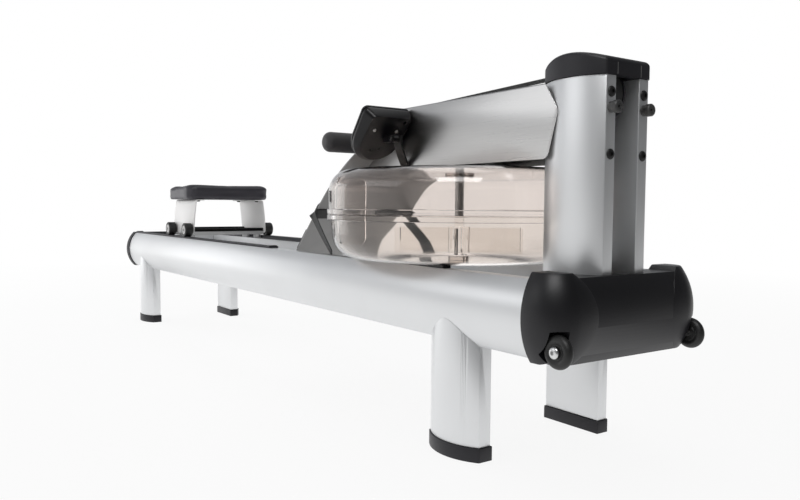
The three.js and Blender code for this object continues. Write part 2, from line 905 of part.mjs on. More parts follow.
// One end of the shroud: side and front bulge alike and meet in a rounded corner.
function lobeGeometry(inset, rear) {
  const rings = [];
  const bottom = lobeBottom + inset;
  const top = lobeTop - inset;
  for (let i = 0; i <= bulgeSteps; i += 1) {
    const z = bottom + ((top - bottom) * i) / bulgeSteps;
    const out = bulgeAt(z, lobeBottom, lobeTop, lobeBulge) - inset;
    const side = railOuter + shroudProud + out;
    const front = shroudFront + out;
    const corner = lobeCorner + out;
    const ring = [
      new THREE.Vector3(rear, lobeInnerRear + inset, z),
      new THREE.Vector3(front - lobeSink, lobeInnerFront + inset, z),
    ];
    for (let j = 0; j <= cornerSteps; j += 1) {
      const angle = (Math.PI / 2) * (j / cornerSteps);
      ring.push(new THREE.Vector3(
        front - corner + corner * Math.cos(angle),
        side - corner + corner * Math.sin(angle),
        z,
      ));
    }
    ring.push(new THREE.Vector3(rear, side, z));
    rings.push(ring);
  }
  return skin(rings);
}

function barGeometry(inset, rear) {
  const rings = [];
  const reach = barReach + 2 * inset;
  const bottom = barBottom + inset;
  const top = barTop - inset;
  for (let i = 0; i <= bulgeSteps; i += 1) {
    const z = bottom + ((top - bottom) * i) / bulgeSteps;
    const front = shroudFront + bulgeAt(z, barBottom, barTop, barBulge) - inset;
    rings.push([
      new THREE.Vector3(rear, -reach, z),
      new THREE.Vector3(front, -reach, z),
      new THREE.Vector3(front, reach, z),
      new THREE.Vector3(rear, reach, z),
    ]);
  }
  return skin(rings);
}

function shroudGeometry() {
  const pieces = (inset, rear) => {
    const lobe = lobeGeometry(inset, rear);
    return fuse(lobe, mirrored(lobe), barGeometry(inset, rear));
  };
  const outer = pieces(0, shroudRear);
  const hollow = pieces(shroudWall, shroudRear - overrun);
  const far = shroudFront + lobeBulge + overrun;
  const wide = railOuter + shroudProud + lobeBulge + overrun;
  const pocketRear = truckX - truckRadius - pocketGap;
  // The hollow keeps clear of a box round each wheel pocket, which leaves the pocket its walls.
  const housing = block(
    pocketRear - pocketWall,
    far,
    pocketInner - pocketWall,
    wide,
    lobeBottom - overrun,
    pocketCeiling + pocketWall,
  );
  const pocket = fuse(
    block(truckX, far, pocketInner, wide, lobeBottom - overrun, pocketCeiling),
    pushY(roundedRectangle(
      pocketRear,
      truckX + truckRadius,
      lobeBottom - 2 * truckRadius,
      pocketCeiling,
      truckRadius,
    ), (pocketInner + wide) / 2, wide - pocketInner),
  );
  const boltHole = rod(truckBoltRadius + seatGap, pocketInner - truckBoltRoot - seatGap, wide)
    .translate(truckX, 0, truckZ);
  // The posts stand in a notch in the shroud's top.
  const notch = pushZ(new THREE.Shape(capOutline(seatGap)), barBottom + barBulge, lobeTop);
  return cut(
    outer,
    cut(hollow, housing, mirrored(housing)),
    pocket,
    mirrored(pocket),
    boltHole,
    mirrored(boltHole),
    notch,
  );
}

addPart('front_shroud', shroudGeometry(), blackPlastic);

// Transport wheels and their bolts

function truckWheelGeometry() {
  const half = truckWidth / 2;
  const hub = truckRadius * truckHubShare;
  const profile = [[truckBore, -half]];
  profile.push([hub, -half]);
  for (let i = 0; i <= cornerSteps * 2; i += 1) {
    const angle = Math.PI * (i / (cornerSteps * 2) - 0.5);
    profile.push([truckRadius - truckTread + truckTread * Math.cos(angle), half * Math.sin(angle)]);
  }
  profile.push([hub, half], [truckBore, half], [truckBore, -half]);
  return turnedY(profile, wheelSteps).translate(truckX, truckY, truckZ);
}

function truckBoltGeometry() {
  const root = pocketInner - truckBoltRoot;
  const seat = truckY + truckWidth / 2 + runGap;
  const end = seat + truckBoltHeadLength;
  const bolt = turnedY([
    [0, root],
    [truckBoltRadius, root],
    [truckBoltRadius, seat],
    [truckBoltHead, seat],
    [truckBoltHead, end - truckBoltHeadLength / 3],
    [truckBoltHead - truckBoltHeadLength / 3, end],
    [0, end],
  ], smallRoundSteps);
  const socket = rod(truckBoltSocket, end - truckBoltSocket, end + overrun, 6);
  return cut(bolt, socket).translate(truckX, 0, truckZ);
}

addPair('truck_wheel', truckWheelGeometry(), blackRubber);
addPair('truck_bolt', truckBoltGeometry(), steel);

// Tank: two shells, a seal between their flanges, and the water

function fillet(radiusAt, heightAt, radius, from, to) {
  const points = [];
  for (let i = 0; i <= filletSteps; i += 1) {
    const angle = from + ((to - from) * i) / filletSteps;
    points.push([radiusAt + radius * Math.cos(angle), heightAt + radius * Math.sin(angle)]);
  }
  return points;
}

const flangeMeet = tankFlangeBottom + tankFlangeHeight;
const upperFlangeBottom = flangeMeet + sealHeight + 2 * seatGap;
const upperFlangeTop = upperFlangeBottom + tankFlangeHeight;

function lowerLine(inset) {
  const round = tankLowerFillet - inset;
  const middle = tankLowerRadius - tankLowerDraft - tankLowerFillet;
  return fillet(middle, tankBottom + tankLowerFillet, round, -Math.PI / 2, 0);
}

function ribs(bottom, top, wallRadius) {
  const list = [];
  for (let i = 0; i < ribCount; i += 1) {
    const half = ribWidth / 2;
    const rib = block(wallRadius - ribDepth, wallRadius + tankWall / 2, -half, half, bottom, top);
    list.push(rib.rotateZ((Math.PI * (2 * i + 1)) / ribCount));
  }
  return list;
}

function lowerShellGeometry() {
  const outer = lowerLine(0);
  const inner = lowerLine(tankWall).reverse();
  const profile = [
    [0, tankBottom],
    ...outer,
    [tankLowerRadius, tankFlangeBottom],
    [tankFlangeRadius, tankFlangeBottom],
    [tankFlangeRadius, flangeMeet],
    [tankLowerRadius - tankWall, flangeMeet],
    ...inner,
    [tankBossRadius, tankBottom + tankWall],
    [tankBossRadius, tankBottom + tankWall + tankBossHeight],
    [0, tankBottom + tankWall + tankBossHeight],
  ];
  const shell = turnedZ(profile, tankSteps);
  const bottom = tankBottom + tankLowerFillet;
  const wall = tankLowerRadius - tankLowerDraft - tankWall;
  return fuse(shell, ...ribs(bottom, flangeMeet - ribEnd / 2, wall)).translate(tankX, 0, 0);
}

function upperShellGeometry() {
  const middle = tankUpperRadius - tankUpperFillet;
  const height = tankTop - tankUpperFillet;
  const outer = fillet(middle, height, tankUpperFillet, 0, Math.PI / 2);
  const inner = fillet(middle, height, tankUpperFillet - tankWall, 0, Math.PI / 2).reverse();
  const profile = [
    [tankUpperRadius - tankWall, upperFlangeBottom],
    [tankFlangeRadius, upperFlangeBottom],
    [tankFlangeRadius, upperFlangeTop],
    [tankUpperRadius, upperFlangeTop],
    ...outer,
    [tankMouthRadius, tankTop],
    [tankMouthRadius, tankTop - tankWall],
    ...inner,
    [tankUpperRadius - tankWall, upperFlangeBottom],
  ];
  const shell = turnedZ(profile, tankSteps);
  const wall = tankUpperRadius - tankWall;
  return fuse(shell, ...ribs(upperFlangeTop + ribEnd / 4, height, wall)).translate(tankX, 0, 0);
}

function sealGeometry() {
  const bottom = flangeMeet + seatGap;
  return turnedZ([
    [sealInnerRadius, bottom],
    [tankFlangeRadius - runGap, bottom],
    [tankFlangeRadius - runGap, bottom + sealHeight],
    [sealInnerRadius, bottom + sealHeight],
    [sealInnerRadius, bottom],
  ], tankSteps).translate(tankX, 0, 0);
}

// The water leaves room for the turning impeller and for the ribs on the wall.
function waterGeometry() {
  const clear = tankLowerRadius - tankWall - ribDepth - waterWallGap;
  const round = lowerLine(tankWall + seatGap).filter(([radius]) => radius < clear);
  const outer = clear - tankLowerDraft;
  const core = impellerRadius + waterRoom;
  const roof = impellerBottom + impellerHeight + waterRoom;
  const floor = tankBottom + tankWall + seatGap;
  return turnedZ([
    [core, floor],
    ...round,
    [outer, tankBottom + tankLowerFillet],
    [outer, waterLevel],
    [shaftRadius + runGap, waterLevel],
    [shaftRadius + runGap, roof],
    [core, roof],
    [core, floor],
  ], tankSteps).translate(tankX, 0, 0);
}

addPart('tank_lower_shell', lowerShellGeometry(), smokeClear);
addPart('tank_upper_shell', upperShellGeometry(), smokeClear);
addPart('tank_seal', sealGeometry(), blackRubber);
addPart('tank_water', waterGeometry(), waterTint);

// Rubber strips on the rails carry the tank.
function tankRestGeometry() {
  const bottom = railTop + seatGap;
  const inner = railInner + restInset;
  const profile = roundedRectangle(
    tankX - restLength / 2,
    tankX + restLength / 2,
    inner,
    inner + restWidth,
    restInset,
  );
  return pushZ(profile, bottom, tankBottom - seatGap - bottom, cornerSteps);
}

addPair('tank_rest', tankRestGeometry(), blackRubber);

// Shaft, impeller, bearing and drum

function impellerGeometry() {
  const bottom = tankBottom + tankWall + tankBossHeight + seatGap;
  const top = impellerBottom + impellerHeight;
  const core = turnedZ([
    [0, bottom],
    [shaftRadius, bottom],
    [shaftRadius, impellerBottom - hubProud],
    [impellerHub, impellerBottom - hubProud],
    [impellerHub, top + hubProud],
    [shaftRadius, top + hubProud],
    [shaftRadius, shaftTop],
    [0, shaftTop],
  ], smallRoundSteps);
  const corner = impellerHeight * bladeCornerShare;
  const blade = pushY(
    roundedRectangle(0, impellerRadius, impellerBottom, top, corner),
    0,
    bladeThickness,
    cornerSteps,
  );
  const inside = block(
    -impellerRadius,
    impellerHub / 2,
    -bladeThickness,
    bladeThickness,
    impellerBottom,
    top,
  );
  const trimmed = cut(blade, inside);
  const blades = [];
  for (let i = 0; i < bladeCount; i += 1) {
    blades.push(trimmed.clone().rotateZ((2 * Math.PI * i) / bladeCount));
  }
  return fuse(core, ...blades).translate(tankX, 0, 0);
}

function bearingGeometry() {
  const bottom = tankTop + seatGap;
  const neck = tankMouthRadius - seatGap;
  return turnedZ([
    [shaftRadius + runGap, tankTop - bearingNeck],
    [neck, tankTop - bearingNeck],
    [neck, bottom],
    [bearingRadius, bottom],
    [bearingRadius, bottom + bearingPlate / 2],
    [neck, bottom + bearingPlate],
    [shaftRadius + runGap, bottom + bearingPlate],
    [shaftRadius + runGap, tankTop - bearingNeck],
  ], wheelSteps).translate(tankX, 0, 0);
}

function drumGeometry() {
  const top = drumBottom + drumHeight;
  const bore = shaftRadius + runGap;
  return turnedZ([
    [bore, drumBottom],
    [drumFlange, drumBottom],
    [drumFlange, drumBottom + drumFlangeThickness],
    [drumRadius, drumBottom + drumFlangeThickness],
    [drumRadius, top - drumFlangeThickness],
    [drumFlange, top - drumFlangeThickness],
    [drumFlange, top],
    [bore, top],
    [bore, drumBottom],
  ], wheelSteps).translate(tankX, 0, 0);
}

addPart('impeller', impellerGeometry(), steel);
addPart('tank_bearing', bearingGeometry(), bearingPlastic);
addPart('clutch_drum', drumGeometry(), bearingPlastic);

// The idler's axle runs in the inner faces of the two posts.
function idlerGeometry() {
  const half = idlerWidth / 2;
  const end = postInner - seatGap;
  return turnedY([
    [0, -end],
    [idlerAxle, -end],
    [idlerAxle, -half],
    [idlerFlange, -half],
    [idlerFlange, idlerFlangeThickness - half],
    [idlerRadius, idlerFlangeThickness - half],
    [idlerRadius, half - idlerFlangeThickness],
    [idlerFlange, half - idlerFlangeThickness],
    [idlerFlange, half],
    [idlerAxle, half],
    [idlerAxle, end],
    [0, end],
  ], wheelSteps).translate(idlerX, 0, idlerZ);
}

addPart('idler_pulley', idlerGeometry(), bearingPlastic);

// Footboard

// Its curve: straight up to the knee, then an arc that lies down toward the deck.
const boardTurn = degrees(boardSlope);
const boardCentre = new THREE.Vector2(
  boardKneeX + boardRadius * Math.sin(boardTurn),
  boardKneeZ - boardRadius * Math.cos(boardTurn),
);

// Points of the sheet's face that lies "depth" behind the user's face.
function boardLine(depth, past = 0) {
  const along = new THREE.Vector2(Math.cos(boardTurn), Math.sin(boardTurn));
  const out = new THREE.Vector2(-Math.sin(boardTurn), Math.cos(boardTurn));
  const knee = new THREE.Vector2(boardKneeX, boardKneeZ).addScaledVector(out, -depth);
  const points = [knee.clone().addScaledVector(along, -boardStraight - past)];
  const last = degrees(boardCurve) + past / boardRadius;
  for (let i = 0; i <= boardCurveSteps; i += 1) {
    const angle = boardTurn - (last * i) / boardCurveSteps;
    points.push(new THREE.Vector2(
      boardCentre.x - (boardRadius - depth) * Math.sin(angle),
      boardCentre.y + (boardRadius - depth) * Math.cos(angle),
    ));
  }
  return points;
}

// From the footboard's frame (x up the slope, z out of its face) to the machine's.
const slopeFrame = new THREE.Matrix4()
  .makeRotationY(-boardTurn)
  .setPosition(boardKneeX, 0, boardKneeZ);

function footboardGeometry() {
  const profile = new THREE.Shape([...boardLine(0), ...boardLine(boardSheet).reverse()]);
  const sheet = pushY(profile, 0, 2 * boardHalf);
  // The deck's channel passes through a notch in the sheet's upper end.
  const reach = deckOuter + boardNotchGap;
  const notch = block(
    deckRearTopX - (deckTop - deckBottom) * Math.tan(degrees(deckRearLean)) - boardNotchGap,
    tankX,
    -reach,
    reach,
    deckBottom - boardSheet,
    deckTop,
  );
  const slots = [-1, 1].map((side) => block(
    -webPlace - webWidth / 2 - webSlotSpare,
    -webPlace + webWidth / 2 + webSlotSpare,
    side * webSlotY - webSlotWidth / 2,
    side * webSlotY + webSlotWidth / 2,
    -boardSheet - overrun,
    overrun,
  ).applyMatrix4(slopeFrame));
  return cut(sheet, notch, ...slots);
}

addPart('footboard', footboardGeometry(), sheetGrey);

// Heel rests

// A shallow tray with a raised wall round its lower end, on the straight of the board.
function heelGeometry() {
  const bottom = seatGap;
  const x0 = -boardStraight + heelEnd;
  const x1 = x0 + heelLength;
  const y0 = heelMiddle - heelWidth / 2;
  const y1 = heelMiddle + heelWidth / 2;
  const body = pushZ(roundedRectangle(x0, x1, y0, y1, heelCorner), bottom, heelWallHeight, cornerSteps);
  const well = pushZ(roundedRectangle(
    x0 + heelWallThickness,
    x1 + heelLength,
    y0 + heelWallThickness,
    y1 - heelWallThickness,
    heelCorner - heelWallThickness,
  ), bottom + heelThickness, heelWallHeight, cornerSteps);
  // The walls slope down from the heel to nothing at the upper end.
  const slope = pushY(new THREE.Shape([
    new THREE.Vector2(x0 + heelLength / 3, bottom + heelWallHeight + overrun),
    new THREE.Vector2(x1 + overrun, bottom + heelThickness),
    new THREE.Vector2(x1 + overrun, bottom + heelWallHeight + overrun),
  ]), heelMiddle, heelWidth + 2 * overrun);
  return cut(body, well, slope).applyMatrix4(slopeFrame);
}

addPair('heel_rest', heelGeometry(), blackPlastic);

// Foot straps

// A quarter turn of the webbing in (y, z) about a centre, from one angle to the next.
function webTurn(y, z, radius, from) {
  const points = [];
  for (let i = 0; i <= webTurnSteps; i += 1) {
    const angle = from + ((Math.PI / 2) * i) / webTurnSteps;
    points.push([y + radius * Math.cos(angle), z + radius * Math.sin(angle)]);
  }
  return points;
}

// Under the sheet, round its edge, in an arch over the foot and down through the slot.
function strapLoopPath() {
  const under = -boardSheet - seatGap - webThickness / 2;
  const edge = boardHalf + seatGap + webThickness / 2;
  const turn = webThickness * webTurnShare;
  const middle = (edge + webSlotY) / 2;
  const half = (edge - webSlotY) / 2;
  const points = [...webTurn(edge - turn, under + turn, turn, -Math.PI / 2)];
  for (let i = 0; i <= webArchSteps; i += 1) {
    const angle = (Math.PI * i) / webArchSteps;
    points.push([middle + half * Math.cos(angle), webArch * Math.sin(angle)]);
  }
  points.push(...webTurn(webSlotY + turn, under + turn, turn, Math.PI));
  return points.map(([y, z]) => new THREE.Vector3(0, y, z));
}

function footStrapGeometry() {
  const path = strapLoopPath();
  const rings = path.map((point, i) => {
    const before = path[(i + path.length - 1) % path.length];
    const after = path[(i + 1) % path.length];
    const along = after.clone().sub(before).normalize();
    const out = new THREE.Vector3(0, along.z, -along.y);
    const corner = (s, f) => point.clone()
      .add(new THREE.Vector3((s * webWidth) / 2 - webPlace, 0, 0))
      .addScaledVector(out, (f * webThickness) / 2);
    return [corner(-1, -1), corner(1, -1), corner(1, 1), corner(-1, 1)];
  });
  const loop = skin(rings, true).applyMatrix4(slopeFrame);
  return fuse(loop, strapTailGeometry());
}

// The loose end leaves the loop at the board's edge, bows back and rests on the rail.
function strapTailGeometry() {
  const edge = boardHalf + seatGap + webThickness / 2;
  const start = new THREE.Vector3(-webPlace, edge, 0).applyMatrix4(slopeFrame);
  const rest = railTop + seatGap + webThickness;
  const drop = start.z - rest;
  const [turnAt, lieAt] = tailTurnShares;
  const curve = new THREE.CatmullRomCurve3([
    start,
    new THREE.Vector3(start.x - tailBow, edge + tailOut / 2, start.z - drop * tailHighShare),
    new THREE.Vector3(start.x, edge + tailOut, start.z - drop / 2),
    new THREE.Vector3(start.x + tailReach * turnAt, edge + tailOut, rest + drop * tailFootShare),
    new THREE.Vector3(start.x + tailReach * lieAt, edge + tailOut, rest + webThickness),
    new THREE.Vector3(start.x + tailReach, edge + tailOut, rest + webThickness / 2),
  ]);
  const path = curve.getSpacedPoints(tailSteps);
  const widths = path.map((point, i) => {
    const turn = (degrees(tailTurn) * i) / tailSteps;
    return new THREE.Vector3(Math.cos(turn), Math.sin(turn), 0);
  });
  return band(path, widths, tailWidth, webThickness);
}

addPair('foot_strap', footStrapGeometry(), webbing);

// Deck

function deckRearX(z) {
  return deckRearTopX - (deckTop - z) * Math.tan(degrees(deckRearLean));
}

// The handle lies against the leaning rear edges.
const handleX = deckRearX(handleZ) - (handleRadius + seatGap) / Math.cos(degrees(deckRearLean));

// A side plate: a rounded nose over the post in front, a leaning edge behind.
function deckSideShape() {
  const shape = new THREE.Shape();
  shape.moveTo(deckRearX(deckBottom), deckBottom);
  shape.lineTo(deckNoseBottomX - (deckNoseX - deckNoseBottomX) / 2, deckBottom);
  shape.quadraticCurveTo(
    deckNoseBottomX,
    deckBottom,
    deckNoseBottomX + deckSheet,
    deckBottom + 2 * deckSheet,
  );
  shape.quadraticCurveTo(
    deckNoseX,
    (deckBottom + deckNoseZ) / 2,
    deckNoseX,
    deckNoseZ - (deckTop - deckNoseZ) / 4,
  );
  shape.quadraticCurveTo(deckNoseX, (deckNoseZ + deckTop) / 2, deckNoseTopX, deckTop);
  shape.lineTo(deckRearTopX, deckTop);
  return shape;
}

function deckGeometry() {
  const side = pushY(deckSideShape(), deckInner + deckSheet / 2, deckSheet, cornerSteps);
  const top = block(deckRearTopX, deckTopFront, -deckOuter, deckOuter, deckTop - deckSheet, deckTop);
  return fuse(side, mirrored(side), top);
}

addPart('deck_cover', deckGeometry(), brushed);

// A moulded plug closes the channel's rear end and carries the handle in its front.
function deckEndGeometry() {
  const wide = deckInner - seatGap;
  const top = deckTop - deckSheet - seatGap;
  const bottom = deckBottom + restDrop;
  const shape = new THREE.Shape([
    new THREE.Vector2(deckRearX(bottom), bottom),
    new THREE.Vector2(deckRearX(bottom) + restDepth, bottom),
    new THREE.Vector2(deckRearX(top) + restDepth, top),
    new THREE.Vector2(deckRearX(top), top),
  ]);
  const plug = pushY(shape, 0, 2 * wide);
  const hollow = rod(handleRadius + seatGap, -wide - overrun, wide + overrun, wheelSteps)
    .translate(handleX, 0, handleZ);
  const tongue = block(
    handleX - handleRadius / 2,
    deckRearX(bottom) + restDepth / 2,
    -wide / 2,
    wide / 2,
    handleZ - handleRadius - restDrop / 2,
    handleZ - handleRadius / 2,
  );
  const roomRadius = handleRadius + yokeThickness + 2 * runGap;
  const roomHalf = yokeWidth / 2 + runGap;
  const room = rod(roomRadius, -roomHalf, roomHalf, wheelSteps).translate(handleX, 0, handleZ);
  return cut(fuse(plug, tongue), hollow, room);
}

addPart('deck_end', deckEndGeometry(), blackPlastic);

// Handle

function gripGeometry() {
  const half = handleLength / 2;
  const profile = [[0, -half]];
  for (let i = 0; i <= cornerSteps; i += 1) {
    const angle = (Math.PI / 2) * (i / cornerSteps);
    profile.push([
      handleRadius - handleRound + handleRound * Math.sin(angle),
      handleRound - half - handleRound * Math.cos(angle),
    ]);
  }
  const other = profile.slice().reverse().map(([radius, y]) => [radius, -y]);
  return turnedY([...profile, ...other], wheelSteps).translate(handleX, 0, handleZ);
}

const leadFrom = new THREE.Vector3(handleX, 0, handleZ);
const leadTo = new THREE.Vector3(deckRearTopX, 0, deckTop + strapDeckRise);

// A clamp round the middle of the grip, with a tongue that takes the strap.
function yokeGeometry() {
  const inner = handleRadius + seatGap;
  const outer = inner + yokeThickness;
  const half = yokeWidth / 2;
  const profile = [[inner, -half], [outer, -half], [outer, half], [inner, half], [inner, -half]];
  const ring = turnedY(profile, wheelSteps);
  const tongue = block(0, outer + yokeTongue, -half, half, outer - yokeThickness, outer);
  const core = rod(inner, -handleLength, handleLength, wheelSteps);
  const aim = leadAim();
  return cut(fuse(ring, tongue), core).rotateY(-aim).translate(handleX, 0, handleZ);
}

// The angle above level at which the strap's upper face leaves the handle for the deck.
function leadAim() {
  const gap = leadTo.clone().sub(leadFrom);
  const reach = Math.hypot(gap.x, gap.z);
  const lift = handleRadius + seatGap + yokeThickness / 2;
  return Math.atan2(gap.z, gap.x) - Math.asin(lift / reach);
}

addPart('handle_grip', gripGeometry(), foam);
addPart('handle_yoke', yokeGeometry(), blackMetal);

// Drive strap

const strapAcross = new THREE.Vector3(0, 1, 0);

// From the tongue on the handle to the deck's rear edge; it grows as the handle is pulled.
function strapLeadGeometry() {
  const aim = leadAim();
  const along = new THREE.Vector3(Math.cos(aim), 0, Math.sin(aim));
  const up = new THREE.Vector3(-Math.sin(aim), 0, Math.cos(aim));
  const lift = handleRadius + seatGap + yokeThickness / 2;
  const start = leadFrom.clone()
    .addScaledVector(up, lift)
    .addScaledVector(along, handleRadius + seatGap + yokeThickness + yokeTongue + seatGap);
  const path = [start, leadTo.clone().addScaledVector(along, -strapThickness)];
  return band(path, path.map(() => strapAcross), strapWidth, strapThickness);
}

// Over the deck, round the idler, and with a quarter twist down to the drum.
function driveStrapGeometry() {
  const radius = idlerRadius + runGap + strapThickness / 2;
  const points = [];
  const widths = [];
  const add = (x, y, z, across) => {
    points.push(new THREE.Vector3(x, y, z));
    widths.push(across);
  };
  add(leadTo.x, 0, leadTo.z, strapAcross);
  const start = Math.atan2(idlerZ + radius - leadTo.z, idlerX - leadTo.x);
  for (let i = 0; i <= strapTurnSteps; i += 1) {
    const angle = Math.PI / 2 + start - (Math.PI * i) / strapTurnSteps;
    add(idlerX + radius * Math.cos(angle), 0, idlerZ + radius * Math.sin(angle), strapAcross);
  }
  const last = points[points.length - 1];
  const drumLine = drumRadius + runGap + strapThickness / 2;
  const drumMiddle = drumBottom + drumHeight / 2;
  const touch = Math.acos(drumLine / (last.x - tankX));
  const touchX = tankX + drumLine * Math.cos(touch);
  const touchY = drumLine * Math.sin(touch);
  for (let i = 1; i <= strapTwistSteps; i += 1) {
    const share = i / strapTwistSteps;
    const turn = (Math.PI / 2) * share;
    add(
      last.x + (touchX - last.x) * share,
      touchY * share,
      last.z + (drumMiddle - last.z) * share,
      new THREE.Vector3(0, Math.cos(turn), Math.sin(turn)),
    );
  }
  for (let i = 1; i <= strapTurnSteps; i += 1) {
    const angle = touch + (Math.PI * i) / strapTurnSteps;
    add(
      tankX + drumLine * Math.cos(angle),
      drumLine * Math.sin(angle),
      drumMiddle,
      new THREE.Vector3(0, 0, 1),
    );
  }
  return band(points, widths, strapWidth, strapThickness);
}

addPart('strap_lead', strapLeadGeometry(), webbing);
addPart('drive_strap', driveStrapGeometry(), webbing);

// Monitor

// Its frame: x to the user's right, y up its face, z out of the face.
const monitorTurn = degrees(monitorTilt);
const monitorFrame = new THREE.Matrix4().makeBasis(
  new THREE.Vector3(0, -1, 0),
  new THREE.Vector3(Math.sin(monitorTurn), 0, Math.cos(monitorTurn)),
  new THREE.Vector3(-Math.cos(monitorTurn), 0, Math.sin(monitorTurn)),
).setPosition(monitorX, monitorY, monitorZ);

const armFlat = -deckOuter - seatGap - armThickness / 2;
const pivotZ = armTop - pivotDrop;
const lugInner = armFlat - armOut - armThickness / 2 - runGap;
const lugOuter = lugInner - lugWidth;

// A flat top with rounded corners, straight sides and a half-round bottom.
function shieldPoints(width, height, corner, rise, count) {
  const half = width / 2;
  const top = height / 2 + rise;
  const low = top - height + half;
  const shape = new THREE.Shape();
  shape.moveTo(0, top);
  shape.lineTo(corner - half, top);
  shape.absarc(corner - half, top - corner, corner, Math.PI / 2, Math.PI);
  shape.lineTo(-half, low);
  shape.absarc(0, low, half, Math.PI, Math.PI * 2);
  shape.lineTo(half, top - corner);
  shape.absarc(half - corner, top - corner, corner, 0, Math.PI / 2);
  shape.lineTo(0, top);
  return shape.getSpacedPoints(count).slice(0, -1);
}

function monitorHousingGeometry() {
  const lift = (point, share) => point.clone().multiplyScalar(share);
  const face = shieldPoints(monitorWidth, monitorHeight, monitorCorner, 0, monitorPoints);
  const back = shieldPoints(
    monitorBackWidth,
    monitorBackHeight,
    monitorCorner,
    monitorBackRise,
    monitorPoints,
  );
  const backTop = monitorBackHeight / 2 + monitorBackRise;
  const backDepth = (y) => {
    const share = (backTop - y) / monitorBackHeight;
    return monitorBackTopDepth + (monitorBackBottomDepth - monitorBackTopDepth) * share;
  };
  const ring = (points, share, depth) => points.map((point) => {
    const moved = lift(point, share);
    return new THREE.Vector3(moved.x, moved.y, -depth(moved.y));
  });
  const rings = [
    ring(face, monitorLipShare, () => 0),
    ring(face, 1, () => monitorRim / 3),
    ring(face, 1, () => monitorRim),
    ring(back, 1, (y) => backDepth(y) - monitorRim / 3),
    ring(back, monitorLipShare, backDepth),
  ];
  const body = skin(rings);
  const screenMiddle = screenRise;
  const window = pushZ(roundedRectangle(
    -screenWidth / 2 - seatGap,
    screenWidth / 2 + seatGap,
    screenMiddle - screenHeight / 2 - seatGap,
    screenMiddle + screenHeight / 2 + seatGap,
    screenCorner,
  ), -screenThickness - screenDepth - seatGap, screenThickness + screenDepth + overrun, cornerSteps);
  const holes = buttonPlaces().map((x) => turnedZ([
    [0, -buttonHeight],
    [buttonRadius + seatGap, -buttonHeight],
    [buttonRadius + seatGap, overrun],
    [0, overrun],
  ], smallRoundSteps).translate(x, -buttonDrop, 0));
  return cut(fuse(body.applyMatrix4(monitorFrame), lugGeometry()), ...[window, ...holes].map((tool) => (
    tool.applyMatrix4(monitorFrame)
  )), rod(pivotRadius + seatGap, -monitorWidth, monitorWidth).translate(armX, monitorY, pivotZ));
}

// A knuckle on the back of the housing, round the pivot pin.
function lugGeometry() {
  const middle = (lugInner + lugOuter) / 2;
  const knuckle = rod(lugRadius, lugOuter, lugInner).translate(armX, 0, pivotZ);
  const top = pivotZ + lugRadius * lugRootShare;
  const bottom = pivotZ - lugRadius * lugRootShare;
  const root = pushY(new THREE.Shape([
    new THREE.Vector2(monitorBackLine(bottom) - lugRoot, bottom),
    new THREE.Vector2(armX, bottom),
    new THREE.Vector2(armX, top),
    new THREE.Vector2(monitorBackLine(top) - lugRoot, top),
  ]), middle, lugWidth);
  return fuse(knuckle, root);
}

// Where the housing's sloping back lies, in x, at height z.
function monitorBackLine(z) {
  const top = new THREE.Vector3(0, monitorBackHeight / 2 + monitorBackRise, -monitorBackTopDepth);
  const low = new THREE.Vector3(0, monitorBackRise - monitorBackHeight / 2, -monitorBackBottomDepth);
  top.applyMatrix4(monitorFrame);
  low.applyMatrix4(monitorFrame);
  return top.x + ((low.x - top.x) * (z - top.z)) / (low.z - top.z);
}

function buttonPlaces() {
  return [-buttonSpacing, 0, buttonSpacing];
}

function screenGeometry() {
  return pushZ(roundedRectangle(
    -screenWidth / 2,
    screenWidth / 2,
    screenRise - screenHeight / 2,
    screenRise + screenHeight / 2,
    screenCorner,
  ), -screenThickness - screenDepth, screenThickness, cornerSteps).applyMatrix4(monitorFrame);
}

function buttonGeometry(x) {
  const travel = buttonHeight / 2;
  return turnedZ([
    [0, travel - buttonHeight],
    [buttonRadius, travel - buttonHeight],
    [buttonRadius, buttonProud / 2],
    [buttonRadius - buttonProud / 2, buttonProud],
    [0, buttonProud],
  ], smallRoundSteps).translate(x, -buttonDrop, 0).applyMatrix4(monitorFrame);
}

addPart('monitor_housing', monitorHousingGeometry(), blackPlastic);
addPart('monitor_screen', screenGeometry(), glassDark);
['left', 'middle', 'right'].forEach((name, i) => {
  addPart(`monitor_button_${name}`, buttonGeometry(buttonPlaces()[i]), keyGrey);
});

// A flat bar up from the deck's side plate, bent outward, with a headed pin at its end.
function monitorArmGeometry() {
  const end = armFlat - armOut;
  const joinZ = pivotZ - lugRadius;
  const path = [];
  for (let i = 0; i <= armSteps; i += 1) {
    const z = armBottom + ((armTop - armBottom) * i) / armSteps;
    const share = Math.min(Math.max((z - armBend) / (joinZ - armBend), 0), 1);
    path.push(new THREE.Vector3(armX, armFlat - armOut * share * share * (3 - 2 * share), z));
  }
  const across = new THREE.Vector3(1, 0, 0);
  const bar = band(path, path.map(() => across), armWidth, armThickness);
  const pin = rod(pivotRadius, lugOuter - runGap - pivotHead, end).translate(armX, 0, pivotZ);
  const headEnd = lugOuter - runGap;
  const head = rod(lugRadius * pivotHeadShare, headEnd - pivotHead, headEnd).translate(armX, 0, pivotZ);
  return fuse(bar, pin, head);
}

addPart('monitor_arm', monitorArmGeometry(), blackMetal);

// Seat

const frontAxleX = seatX + wheelBase / 2;
const rearAxleX = seatX - wheelBase / 2;
const axleZ = trackTop + seatGap + seatWheelRadius;

